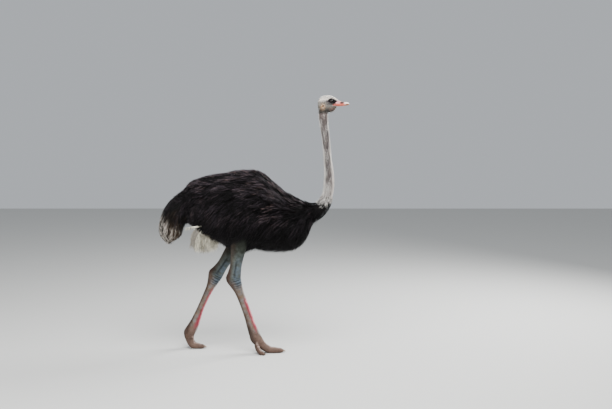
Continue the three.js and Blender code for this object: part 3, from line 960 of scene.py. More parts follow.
bill = {
    "upper": [  # x, z of the mouth's line, half width, height of the culmen, overhang below the line
        (0.628, 1.9330, 0.0285, 0.0370, 0.0045), (0.646, 1.9330, 0.0290, 0.0355, 0.0045),
        (0.668, 1.9330, 0.0275, 0.0288, 0.0040), (0.690, 1.9330, 0.0245, 0.0228, 0.0034),
        (0.712, 1.9332, 0.0205, 0.0186, 0.0030), (0.727, 1.9336, 0.0165, 0.0164, 0.0029),
        (0.7365, 1.9340, 0.0118, 0.0122, 0.0027), (0.7418, 1.9345, 0.0068, 0.0072, 0.0024),
        (0.7438, 1.9350, 0.0026, 0.0030, 0.0016),
    ],
    "lower": [
        (0.628, 1.9318, 0.0275, 0.0020, 0.0110), (0.646, 1.9318, 0.0280, 0.0020, 0.0118),
        (0.668, 1.9318, 0.0264, 0.0020, 0.0112), (0.694, 1.9318, 0.0224, 0.0020, 0.0092),
        (0.716, 1.9320, 0.0172, 0.0018, 0.0070), (0.7300, 1.9326, 0.0105, 0.0014, 0.0038),
        (0.7345, 1.9330, 0.0040, 0.0008, 0.0015),
    ],
    "nostril": (0.686, 1.9478),
    "nailFrom": 0.7125,
    "mesh": {"rings": 90, "around": 72},
}
billTints = {
    "base": "#b57366", "blotch": "#a05850", "red": "#b84a35", "rose": "#bd7f88", "crest": "#d9c3b6",
    "nail": "#f0e4da", "edge": "#6d452b", "groove": "#7d4640", "rim": "#54231f", "hollow": "#0c0505",
    "lowerRed": "#b04c36", "lowerTip": "#7d5436", "chin": "#b98a7c",
}


def lowerBill(co, colour, blotch):
    x, _, z = co.T
    return 0 * x, layered(
        billTints, colour,
        ("lowerRed", smoothStep(0.73, 0.67, x) * 0.85),
        ("lowerTip", smoothStep(0.700, 0.722, x) * 0.9),
        ("chin", smoothStep(1.926, 1.920, z) * 0.5),
    )


def upperBill(co, colour, blotch):
    x, y, z = co.T
    share = np.abs(y) / np.interp(x, [0.628, 0.690, 0.744], [0.0285, 0.0245, 0.0026])
    crest = smoothStep(0.56, 0.40, share) * smoothStep(1.940, 1.946, z)
    tip = x - 0.010 * share ** 2
    nailed = smoothStep(bill["nailFrom"], bill["nailFrom"] + 0.004, tip)
    nx, nz = bill["nostril"]
    slot = ((x - nx) / 0.0098) ** 2 + ((z - nz - 0.10 * (x - nx)) / 0.0050) ** 2
    wall = np.abs(y) > 0.006
    lines = np.sin(x * turn / 0.0046 + 5 * share + 3 * blotch) * (1 - crest)
    push = 0.0013 * crest * smoothStep(0.742, 0.728, x)  # the raised plate along the top
    push += 0.0007 * nailed - 0.0009 * bump(tip, bill["nailFrom"], 0.0018)  # and the nail at its end
    push += 0.00012 * lines * smoothStep(0.70, 0.66, x)
    push -= 0.0050 * np.exp(-slot ** 2) * wall
    push += 0.0009 * bump(np.sqrt(slot), 1.8, 0.5) * wall
    return push, layered(
        billTints, colour,
        ("red", smoothStep(1.9450, 1.9380, z) * smoothStep(0.716, 0.69, x) * 0.85),
        ("rose", smoothStep(0.682, 0.655, x) * smoothStep(1.941, 1.948, z) * 0.8),
        # the paler crest along the top is partly the horn's own colour and partly a painted highlight
        ("crest", crest * 0.8),
        ("nail", smoothStep(0.700, 0.712, x) * smoothStep(1.937, 1.942, z) * 0.9),
        ("edge", smoothStep(0.708, 0.722, x) * smoothStep(1.9450, 1.9395, z) * 0.9),
        ("groove", bump(share, 0.50, 0.06) * (1 - nailed) * 0.45),
        ("rim", bump(np.sqrt(slot), 1.5, 0.5) * wall * 0.6),
        # painted shade in the nostril's hollow
        ("hollow", np.exp(-(slot / 2.0) ** 3) * wall),
    )


def billPiece(part, finishOf, material):
    stations = [(x, 0, z, side, up, down) for x, z, side, up, down in bill[part]]
    made = loft(part + "_bill", stations, upright=True, **bill["mesh"])
    co = positionsOf(made)
    blotch = 0.5 + 0.5 * np.clip(grain(co * [0.5, 1, 1], 0.011, 71), -1, 1)
    push, colour = finishOf(co, layered(billTints, "base", ("blotch", blotch * 0.55)), blotch)
    setPositions(made, co + normalsOf(made) * push[:, None])
    setColours(made, colour)
    dressed(made, material, "bill_horn", "bill_" + part)


billHorn = hornMaterial("billHorn")
billPiece("upper", upperBill, billHorn)
billPiece("lower", lowerBill, billHorn)
report("bill")


# Feathers and down: thin closed blades, each laid along a path

bladeThickness = 0.35  # of the half width


# Paths (n, k, 3), half widths (n, k), facing (n, 3), colours (n, k, 3), roots (n, 2) on the skin's unwrap
def bladeMesh(name, paths, halfWidths, facing, colours, roots):
    count, points = paths.shape[:2]
    tangent = normalised(paths[:, 1:] - paths[:, :-1])
    side = normalised(np.cross(tangent, facing[:, None]))
    crest = normalised(np.cross(side, tangent))
    wide, path = halfWidths[:, :-1, None], paths[:, :-1]
    rings = np.stack([path - side * wide, path + crest * wide * bladeThickness, path + side * wide], axis=2)
    vertices = np.concatenate([rings.reshape(count, -1, 3), paths[:, -1:]], axis=1)
    each, edges = vertices.shape[1], ((0, 1), (1, 2), (2, 0))
    one = [(0, 2, 1)]
    for i in range(0, 3 * (points - 2), 3):
        for a, b in edges:
            one += [(i + a, i + b, i + 3 + b), (i + a, i + 3 + b, i + 3 + a)]
    one += [(each - 4 + a, each - 4 + b, each - 1) for a, b in edges]
    faces = (np.array(one)[None] + (np.arange(count) * each)[:, None, None]).reshape(-1)
    mesh = bpy.data.meshes.new(name)
    mesh.vertices.add(count * each)
    mesh.vertices.foreach_set("co", vertices.astype(np.float32).ravel())
    mesh.loops.add(len(faces))
    mesh.loops.foreach_set("vertex_index", faces.astype(np.int32))
    mesh.polygons.add(len(faces) // 3)
    mesh.polygons.foreach_set("loop_start", np.arange(0, len(faces), 3, dtype=np.int32))
    mesh.update(calc_edges=True)
    mesh.shade_smooth()
    ringOf = np.append(np.repeat(np.arange(points - 1), 3), points - 1)
    corner = np.append(np.tile([0, 1, 2], points - 1), 1)
    patch = np.stack([corner * 0.0015, ringOf * 0.003 / (points - 1)], axis=1)
    places = (roots[:, None] + patch[None]).reshape(-1, 2)
    unwrap = mesh.uv_layers.new(name="OFBake")
    unwrap.data.foreach_set("uv", places[faces].astype(np.float32).ravel())
    made = linked(name, mesh)
    setColours(made, np.broadcast_to(colours, paths.shape)[:, ringOf].reshape(-1, 3))
    report(f"{name}: {len(mesh.polygons)} triangles")
    return made


def stretches(s, theta):  # metres along and around the coat for one unit of s and of theta
    along = np.linalg.norm(onSurface(s + 0.01, theta, 0) - onSurface(s - 0.01, theta, 0), axis=-1) / 0.02
    about = np.linalg.norm(onSurface(s, theta + 0.04, 0) - onSurface(s, theta - 0.04, 0), axis=-1) / 0.08
    return np.clip(along, 0.45, 3.5), np.maximum(about, 0.02)


def scattered(settings):  # roots at an even spacing over part of the coat
    (low, high), spacing = settings["along"], settings["spacing"]
    rng = np.random.default_rng(settings["rootSeed"])
    tries = int(9 * (high - low) * 1.7 / spacing ** 2)
    s, theta = rng.uniform(low, high, tries), rng.uniform(0, turn, tries)
    along, about = stretches(s, theta)
    even = rng.uniform(0, (along * about).max(), tries) < along * about
    s, theta = s[even], theta[even]
    kept, cells = [], {}
    beside = [(a, b, c) for a in (-1, 0, 1) for b in (-1, 0, 1) for c in (-1, 0, 1)]
    for i, point in enumerate(onSurface(s, theta, 0)):
        x, y, z = (point // spacing).astype(int)
        near = (cells.get((x + a, y + b, z + c), ()) for a, b, c in beside)
        if all(((point - other) ** 2).sum() > spacing ** 2 for group in near for other in group):
            cells.setdefault((x, y, z), []).append(point)
            kept.append(i)
    return s[kept], theta[kept]


drape = {"at": (0.0, 0.22, rumpRun + 0.05, breastRun - 0.15, breastRun + 0.05, collarRun),
         "share": (0.0, 0.05, 1.0, 1.0, 0.6, 0.05)}


def flow(s, theta):  # the lie of the coat: back towards the tail, and down over the flanks
    steep = (0.30 + 1.7 * (1 - np.sin(theta)) / 2) * np.interp(s, drape["at"], drape["share"])
    down = -np.cos(theta) * steep
    size = np.hypot(1, down)
    return -1 / size, down / size


def fuller(x, z, u):  # loose plumes fall over the thigh, clear the belly's front, and fill out the tail
    rise = 0.016 * bump(x, 0.0, 0.05) * smoothStep(0.90, 0.82, z)
    rise = rise + 0.024 * bump(x, 0.19, 0.13) * smoothStep(0.90, 0.79, z)
    fall = 0.034 * bump(x, -0.13, 0.10) * smoothStep(1.02, 0.93, z) * u ** 2
    flare = 0.022 * smoothStep(1.04, 0.93, z) * smoothStep(-0.66, -0.60, x) * smoothStep(-0.47, -0.51, x)
    return np.stack([flare, 0 * x, rise - fall], -1)


plumeTaper = np.array([0.55, 1.0, 0.9, 0.6, 0.3])
guideSteps = 8
boxMargin = 0.0006


# Loose plumes: from a guide along the lie of the coat, barbs part to either side and trail back
def plumage(name, s, theta, settings, material, colourOf, seed=None):
    rng = np.random.default_rng(seed or settings["seed"])
    count, barbs = len(s), settings["barbs"]
    points, flat = len(plumeTaper), count * barbs

    def each(low, high):  # one draw for every barb
        return rng.uniform(low, high, (count, barbs, 1))

    length = settings["length"] * rng.uniform(0.8, 1.2, count)
    tracks = [(s, theta)]
    wander = rng.normal(0, settings["wander"], count)
    for _ in range(guideSteps):
        back, down = flow(*tracks[-1])
        along, about = stretches(*tracks[-1])
        tracks.append((tracks[-1][0] + back * length / guideSteps / along,
                       tracks[-1][1] + (down + wander) * length / guideSteps / about))
    number = np.arange(barbs)[:, None]
    leaves = (number + each(0, 1)) / barbs * settings["shaft"]
    hand = np.where(number % 2, 1.0, -1.0) * each(0.15, 1)
    barbLength = settings["barb"] * each(0.7, 1.25) / length[:, None, None]
    u = np.linspace(0, 1, points)
    place = np.clip((leaves + barbLength * u) * guideSteps, 0, guideSteps + 2.0)
    i = np.minimum(place.astype(int), guideSteps - 1)
    row, share = np.arange(count)[:, None, None], place - i
    ps, pt = (track[i, row] * (1 - share) + track[i + 1, row] * share for track in np.stack(tracks, 1))
    end, slowing = settings["end"] + rng.normal(0, 0.010, (count, barbs, 1)), 0.07
    slowed = end + slowing * np.exp((np.minimum(ps, end + slowing) - end - slowing) / slowing)
    ps = np.where(ps < end + slowing, slowed, ps)  # no barb passes the coat's end
    back, down = flow(ps, pt)
    across = hand * settings["spread"] * (1 - (1 - u) ** 2.2)
    phase = each(0, turn)
    across = across + settings["curl"] * np.sin(u * each(3, 7) + phase) * u
    along, about = stretches(ps[:, :, -1], pt[:, :, -1])
    ps = ps - across * down / along[..., None]
    pt = pt + across * back / about[..., None]
    lowest = settings["layer"][0] * each(0.6, 1.0)
    rootHeight = -np.minimum(depthAt(ps, pt) * 1.02, settings["rootDepth"] * (1 - 0.75 * leaves) + 0.003)
    tipHeight = -lowest + rng.normal(0, settings["layer"][1], (count, 1, 1))
    height = rootHeight * (1 - u ** 0.8) + np.minimum(tipHeight, settings["proud"]) * u ** 0.8
    height += settings["curl"] * 0.8 * np.cos(u * 5 + phase) * u
    height = np.minimum(height, settings["proud"])
    inward = smoothStep(0.07, 0.0, ps) * (1 - np.abs(hand)) ** 0.7  # some barbs close the tail's end
    paths = onSurface(ps, pt, height - 0.95 * inward * radiusAt(ps, pt))
    outward = normalised(onSurface(ps[..., 0], pt[..., 0], 0.01) - onSurface(ps[..., 0], pt[..., 0], -0.01))
    under = smoothStep(0.35, -0.6, outward[..., 2])[..., None]
    paths[..., 2] -= settings["hang"] * under * u ** 2 * each(0.1, 1)
    paths += fuller(paths[..., 0], paths[..., 2], u)
    paths[..., 1] = np.clip(paths[..., 1], cadBox[0][1] + boxMargin, cadBox[1][1] - boxMargin)
    paths[..., 0] = np.maximum(paths[..., 0], cadBox[0][0] + boxMargin)
    wide = settings["halfWidth"] * each(0.6, 1.3) * plumeTaper
    tone = rng.normal(0, 1, (count, 1, 1)) * 0.75 + rng.normal(0, 1, (count, barbs, 1)) * 0.5
    colours = np.broadcast_to(colourOf(paths, u, tone, leaves), paths.shape)
    rolled = outward + 0.55 * rng.normal(0, 1, outward.shape)
    roots = np.stack([np.clip(s / surface["length"], 0.002, 0.99) * 0.8, (theta / turn) % 1.0 * 0.99], 1)
    roots = np.repeat(roots, barbs, 0) + rng.uniform(0, 0.004, (flat, 2))
    made = bladeMesh(name, paths.reshape(flat, points, 3), wide.reshape(flat, points),
                     normalised(rolled.reshape(flat, 3)), colours.reshape(flat, points, 3), roots)
    dressed(made, material, settings["slot"])


bodyPlumes = {
    "along": (0.30, collarRun + 0.01), "spacing": 0.0193, "rootSeed": 11, "seed": 100,
    "slot": "black_feather",
    "length": 0.130, "shaft": 0.75, "barbs": 14, "barb": 0.082,
    "spread": 0.020, "curl": 0.0042, "wander": 0.20,
    "halfWidth": 0.00175, "rootDepth": 0.048, "layer": (0.011, 0.0062),
    "proud": -0.0005, "hang": 0.030, "end": -0.5,
}
bodyTints = {"root": "#020202", "black": "#080607", "sheen": "#2a242b", "warm": "#6e574e", "dull": "#72666e"}


def bodyColour(paths, u, tone, leaves):
    x, z = paths[..., 0], paths[..., 2]
    lit = smoothStep(0.25, 0.95, u)
    # partly worn, faded tips and partly painted light: paler and browner over the back and higher up the body
    wornAndTopLit = np.maximum.reduce([
        smoothStep(1.10, 1.34, z) * smoothStep(-0.66, -0.40, x),
        0.75 * bump(x, 0.08, 0.17) * bump(z, 1.17, 0.15),
        0.24 * smoothStep(0.85, 1.10, z),
    ])
    dry = smoothStep(0.1, 1.4, tone + 0.5 * (leaves - 0.4)) * lit
    # silky is a painted sheen on the outer, lit part of each barb
    silky, warm = smoothStep(0.1, 1.3, tone) * lit, smoothStep(0.9, 2.0, tone) * wornAndTopLit * lit
    # painted shade: each barb near-black at its root, deep in the coat
    base = layered(bodyTints, "root", ("black", smoothStep(0.1, 0.7, u)), ("sheen", silky))
    # painted shade: the plumes darker towards the belly
    base = base * (0.45 + 0.55 * smoothStep(0.85, 1.12, z))[..., None]
    return layered(bodyTints, base, ("dull", dry * wornAndTopLit), ("warm", warm))


tailPlumes = {
    "along": (0.10, rumpRun + 0.03), "spacing": 0.027, "rootSeed": 12, "seed": 120,
    "slot": "tail_plume",
    "length": 0.215, "shaft": 0.72, "barbs": 18, "barb": 0.105,
    "spread": 0.018, "curl": 0.0050, "wander": 0.10,
    "halfWidth": 0.0015, "rootDepth": 0.036, "layer": (0.010, 0.0060),
    "proud": -0.0005, "hang": 0.010, "end": -0.002,
}
tailTints = {"root": "#020202", "black": "#0a0808", "brown": "#493724", "grey": "#a3978d", "pale": "#e6ddd2"}


def tailColour(paths, u, tone, leaves):
    x, z = paths[..., 0], paths[..., 2]
    rear, rim = smoothStep(-0.60, -0.70, x), smoothStep(-0.65, -0.71, x)
    low = smoothStep(1.075, 0.985, z + 0.050 * tone - 0.015 * rear - 0.05 * rim)
    gaps = grain(paths.reshape(-1, 3) * [1, 1, 0.35], 0.035, 9).reshape(z.shape)
    tone = tone - 0.9 * smoothStep(0.0, 0.8, gaps)
    streaked = layered(
        tailTints, "brown",
        ("grey", smoothStep(-0.2, 1.0, tone + 0.5 * rear)),
        ("pale", smoothStep(0.3 - 0.8 * rear, 1.3 - 0.8 * rear, tone)),
        ("black", smoothStep(0.0, -0.6, tone) * (0.45 + 0.5 * rear)),
    )
    # painted shade: near-black at each barb's root, deep in the coat
    return mixed(layered(tailTints, "root", ("black", smoothStep(0.1, 0.7, u))), streaked, low)


# The collar, where short black feathers of the body give way to pale down

collarPlumes = {
    "along": (collarRun - 0.035, collarTop + 0.045), "spacing": 0.0090, "rootSeed": 13, "seed": 130,
    "slot": "black_feather",
    "length": 0.028, "shaft": 0.7, "barbs": 6, "barb": 0.022,
    "spread": 0.006, "curl": 0.0012, "wander": 0.15,
    "halfWidth": 0.00075, "rootDepth": 0.012, "layer": (0.0035, 0.0012),
    "proud": -0.0003, "hang": 0.002, "end": -0.5,
}
downTints = {"white": "#fbf7f1", "grey": "#5f5855", "dark": "#1b1716", "black": "#141112", "tan": "#c79f7a",
             "crown": "#f1ebe1", "pink": "#d8b8ab", "jaw": "#3d3932", "lores": skinTints["lores"]}


def collarColour(paths, u, tone, leaves):
    root = paths[..., :1, :]
    above = root[..., 2] - collarEdge(root) + 0.026 * tone
    # painted shade: near-black at each barb's root, deep in the coat
    black = layered(bodyTints, "root", ("black", smoothStep(0.1, 0.7, u)))
    pale = layered(downTints, "grey", ("white", smoothStep(-0.5, 0.8, tone)))
    return mixed(black, pale, smoothStep(-0.004, 0.006, above))


blackPlume = featherMaterial("blackPlume", 0.5, 0.012, 0.10)
tailPlume = featherMaterial("tailPlume", 0.62, 0.02, 0.15)

bodyS, bodyTheta = scattered(bodyPlumes)
report(f"{len(bodyS)} body plumes")
risen = np.sin(bodyTheta)
regions = {  # each takes what the ones before it left
    "breastPlumes": bodyS > breastRun - 0.10,
    "backPlumes": risen > 0.68,
    "bellyPlumes": risen < -0.62,
    "rightFlankPlumes": (bodyTheta > math.pi / 2) & (bodyTheta < 1.5 * math.pi),
    "leftFlankPlumes": bodyS > -1,
}
left = np.ones(len(bodyS), bool)
for seed, (name, region) in enumerate(regions.items(), bodyPlumes["seed"]):
    chosen = region & left
    left &= ~chosen
    plumage(name, bodyS[chosen], bodyTheta[chosen], bodyPlumes, blackPlume, bodyColour, seed)
plumage("tailPlumes", *scattered(tailPlumes), tailPlumes, tailPlume, tailColour)
plumage("collarPlumes", *scattered(collarPlumes), collarPlumes, blackPlume, collarColour)


# Down of the neck and head, rooted on the skin itself

down = {  # between two corners of a box: how many, metres long, degrees off the skin
    "neckDown": {
        "low": (0.44, -0.2, 1.165), "high": (0.70, 0.2, 1.885), "count": 47000, "seed": 31,
        "length": (0.007, 0.0140), "rise": (20, 46), "halfWidth": 0.00036, "taper": (1, 0),
    },
    "headDown": {
        "low": (0.49, -0.2, 1.868), "high": (0.70, 0.2, 2.02), "count": 42000, "seed": 33,
        "length": (0.0045, 0.0088), "rise": (10, 30), "halfWidth": 0.00036, "taper": (1, 0),
    },
    "earTufts": {
        "low": (0.52, -0.2, 1.896), "high": (0.575, 0.2, 1.945), "count": 1100, "seed": 35,
        "length": (0.006, 0.011), "rise": (12, 34), "halfWidth": 0.00034, "taper": (0.9, 0.75, 0),
    },
}
downFibre = featherMaterial("downFibre", 0.7, 0.10, 0.15)


def skinRoots(settings, rng, weight=None):  # roots spread by area, or by area and weight
    a, b, c = (skinPositions[skinCorners[:, i]] for i in range(3))
    middle = (a + b + c) / 3
    size = np.linalg.norm(np.cross(b - a, c - a), axis=1) / 2
    size = size * ((middle > settings["low"]) & (middle < settings["high"])).all(1)
    if weight is not None:
        size = size * weight(middle)
    count = settings["count"]
    chosen = rng.choice(len(size), count, p=size / size.sum())
    one, two = rng.uniform(0, 1, (2, count, 1))
    flip = one + two > 1
    one, two = np.where(flip, 1 - one, one), np.where(flip, 1 - two, two)
    points = a[chosen] + (b - a)[chosen] * one + (c - a)[chosen] * two
    return points, normalised(skinNormals[skinCorners[chosen]].mean(1))


def unwrapped(points):  # places on the unwrap: the neck's length and girth, and beside it the head's
    x, y, z = points.T
    nearest = ((surface["centre"][None, :, [0, 2]] - points[:, None, [0, 2]]) ** 2).sum(2).argmin(1)
    off = points - surface["centre"][nearest]
    along = np.clip(surface["run"][nearest] / surface["length"], 0, 0.99) * 0.8
    about = np.arctan2((off * surface["up"][nearest]).sum(1), off[:, 1])
    onHead = z > 1.872
    u = np.where(onHead, 0.82 + 0.16 * np.clip((x - 0.49) / 0.18, 0, 1), along)
    v = np.where(onHead, np.arctan2(z - 1.940, y), about) / turn % 1.0 * 0.99
    return np.stack([u, v], 1)


def combedBack(points):  # over the head, and down towards the neck
    x, _, z = points.T
    fall = -0.35 - 0.9 * smoothStep(1.93, 1.89, z) - smoothStep(0.53, 0.505, x)
    return np.stack([-1.0 + 0 * x, 0 * x, fall], 1)


def downCoat(name, lie, colourOf, weight=None, raisedOf=None):
    settings = down[name]
    rng = np.random.default_rng(settings["seed"])
    points, normals = skinRoots(settings, rng, weight)
    total, taper = len(points), np.array(settings["taper"])
    raised = raisedOf(points) if raisedOf else 1.0
    length = rng.uniform(*settings["length"], total) * raised
    rise = np.radians(rng.uniform(*settings["rise"], total) * raised)[:, None, None]
    rng = np.random.default_rng(settings["seed"] + 1)
    lie = (lie(points) if callable(lie) else lie) + rng.normal(0, 0.28, (total, 3))
    lie = normalised(lie - (lie * normals).sum(1, keepdims=True) * normals)
    u = np.linspace(0, 1, len(taper))[None, :, None]
    bent, outward = rise * (1 - 0.6 * u), normals[:, None]
    heading = lie[:, None] * np.cos(bent) + outward * np.sin(bent)
    steps = heading * (length[:, None, None] / (len(taper) - 1))
    travelled = np.concatenate([np.zeros((total, 1, 3)), np.cumsum(steps[:, :-1], 1)], 1)
    paths = points[:, None] - outward * 0.0015 + travelled  # rooted a little inside the skin
    paths[..., 2] = np.minimum(paths[..., 2], cadBox[1][2] - 0.0004)
    wide = (settings["halfWidth"] * rng.uniform(0.6, 1.3, total))[:, None] * taper
    colours = colourOf(paths[:, :1], rng.normal(0, 1, (total, 1)))
    facing = normalised(normals + 0.4 * rng.normal(0, 1, normals.shape))
    dressed(bladeMesh(name, paths, wide, facing, colours, unwrapped(points)), downFibre, "neck_down")


def neckColour(root, tone):
    x, y, z = root[..., 0], root[..., 1], root[..., 2]
    side = neckSide(root) * (1 - 0.85 * smoothStep(1.38, 1.24, z))
    streak = grain(root[:, 0] * [1, 1, 0.16], 0.018, 21) + 0.8 * grain(root[:, 0] * [1, 1, 0.4], 0.007, 22)
    streak = 1.1 * streak[:, None]
    high = smoothStep(1.30, 1.62, z) + 1.1 * smoothStep(1.66, 1.84, z)
    darkened = smoothStep(0.9, -0.1 - 0.3 * high, streak + 0.9 - 0.5 * high - 0.25 * tone)
    # painted shade of a short parting in the down
    parting = bump(np.hypot((x - 0.603) * 5.5, z - 1.340), 0, 0.022) * (y < 0)  # a short dark gap
    pale = layered(
        downTints, "grey",
        # white down along the neck's front and back: partly its own colour, partly a painted rim highlight
        ("white", smoothStep(-1.0, 0.8, 0.8 * tone + streak + 1.7 - 2.6 * side)),
        ("dark", darkened * np.minimum(0.75 + 0.2 * high, 1) * side),
        ("pink", 0.25 * smoothStep(0.0, 0.03, x - 0.585) * smoothStep(1.55, 1.35, z)),
        # painted shade of the parting
        ("dark", 0.9 * parting),
    )
    above = z - collarEdge(root) + 0.020 * tone
    return mixed(toLinear(downTints["black"]), pale, smoothStep(-0.006, 0.006, above))


def headColour(root, tone):
    x, y, z = root[..., 0], root[..., 1], root[..., 2]
    side = smoothStep(0.012, 0.024, np.abs(y))
    low = (0.62 + 0.38 * smoothStep(1.930, 1.910, z)) * smoothStep(0.504, 0.526, x)
    # the jaw's darker down stops short of the head's middle line, so the rear and under outline stay pale:
    # painted light on edges in shade
    jaw = smoothStep(1.957, 1.940, z) * low * smoothStep(0.006, 0.022, np.abs(y))
    return layered(
        downTints, "grey",
        ("white", smoothStep(-0.9, 0.6, tone)),
        ("crown", 0.4 * smoothStep(1.955, 1.98, z)),
        ("jaw", 0.95 * jaw * smoothStep(-1.4, -0.1, tone)),
        # painted shade darkening the down under the jaw
        ("dark", 0.55 * smoothStep(1.905, 1.885, z) * smoothStep(0.5, -0.5, tone)),
        ("lores", eyeMask(x, z) * side * 0.95),
        ("black", smoothStep(0.031, 0.024, eyeDistance(x, z)) * side * 0.95),
        ("tan", bump(np.hypot(x - 0.538, (z - 1.918) * 0.8), 0, 0.016) * side),
    )


def tuftColour(root, tone):
    return layered(downTints, "tan", ("white", smoothStep(0.2, 1.5, tone)))


def bareness(middle):  # 0 where no down grows: the eye's opening, the lips, the ear, beside the bill
    x, y, z = middle.T
    ex, _, ez = head["eye"]
    eye = smoothStep(0.0195, 0.026, np.hypot((x - ex) * 0.92, (z - ez) * 1.15)) + (np.abs(y) < 0.012)
    mouth = smoothStep(0.004, 0.010, np.abs(z - gapeZ)) + smoothStep(gapeX + 0.004, gapeX - 0.004, x)
    ear = smoothStep(0.004, 0.008, np.hypot(x - earX, z - earZ)) + (np.abs(y) < 0.01)
    throat = 1 - 0.55 * smoothStep(1.91, 1.89, z) * smoothStep(0.57, 0.60, x)
    besideBill = np.maximum(smoothStep(0.0, -0.0015, x - billEdge(z)), smoothStep(1.927, 1.923, z))
    return np.clip(eye, 0, 1) * np.clip(mouth, 0, 1) * besideBill * np.clip(ear, 0, 1) * throat


def ruffled(points):  # longer and more upright on the crown and the nape
    return 1 + 0.8 * smoothStep(1.975, 1.995, points[:, 2]) + 0.9 * bump(points[:, 2], 1.888, 0.012)


def aroundEar(middle):
    x, y, z = middle.T
    return (np.abs(y) > 0.02) * bump(np.hypot((x - 0.548) * 1.1, z - 1.919), 0.0105, 0.0045)


downCoat("neckDown", [-0.05, 0, -1.0], neckColour)
downCoat("headDown", combedBack, headColour, bareness, ruffled)
downCoat("earTufts", [-1.0, 0, -0.5], tuftColour, aroundEar)


# White wing plumes that hang under the rear of the body

whitePlumes = {
    "shafts": [  # x and z of the root, x and z of the tip, distance out from the middle
        (-0.398, 0.990, -0.468, 0.868, 0.158), (-0.400, 0.985, -0.446, 0.846, 0.140),
        (-0.385, 0.980, -0.420, 0.830, 0.166), (-0.372, 0.975, -0.395, 0.822, 0.146),
        (-0.358, 0.968, -0.368, 0.822, 0.162), (-0.345, 0.962, -0.345, 0.826, 0.138),
        (-0.330, 0.955, -0.318, 0.832, 0.156), (-0.318, 0.950, -0.294, 0.842, 0.144),
        (-0.305, 0.945, -0.272, 0.858, 0.152), (-0.365, 0.985, -0.405, 0.850, 0.126),
        (-0.350, 0.975, -0.380, 0.836, 0.134), (-0.335, 0.962, -0.332, 0.838, 0.164),
        (-0.378, 0.980, -0.432, 0.842, 0.150), (-0.322, 0.955, -0.305, 0.846, 0.130),
        (-0.412, 0.992, -0.455, 0.884, 0.154), (-0.424, 0.994, -0.458, 0.910, 0.148),
    ],
    "shaftWidths": (0.0016, 0.0004),
    "barbs": 235, "barb": (0.036, 0.082), "halfWidth": 0.00085, "taper": (0.7, 1, 0.8, 0.45, 0.1),
    "curl": 0.009,
    "quill": ((-0.330, 0.150, 1.012), (-0.506, 0.150, 0.992)),  # one long quill that sticks out to the rear
    "quillWidths": (0.0032, 0.0036, 0.0034, 0.0026, 0.001),
    "quillBarbs": 46, "quillBarb": (0.012, 0.026),
    "quillBarbWidths": (0.0009, 0.0010, 0.0008, 0.0005, 0.0001),
    "seeds": {"right": 41, "left": 42}, "unwrapAt": {"right": 0.60, "left": 0.90},
}
whiteTints = {"cream": "#f0ead4", "shade": "#6d6551", "grey": "#8d857a", "dark": "#3f3833"}


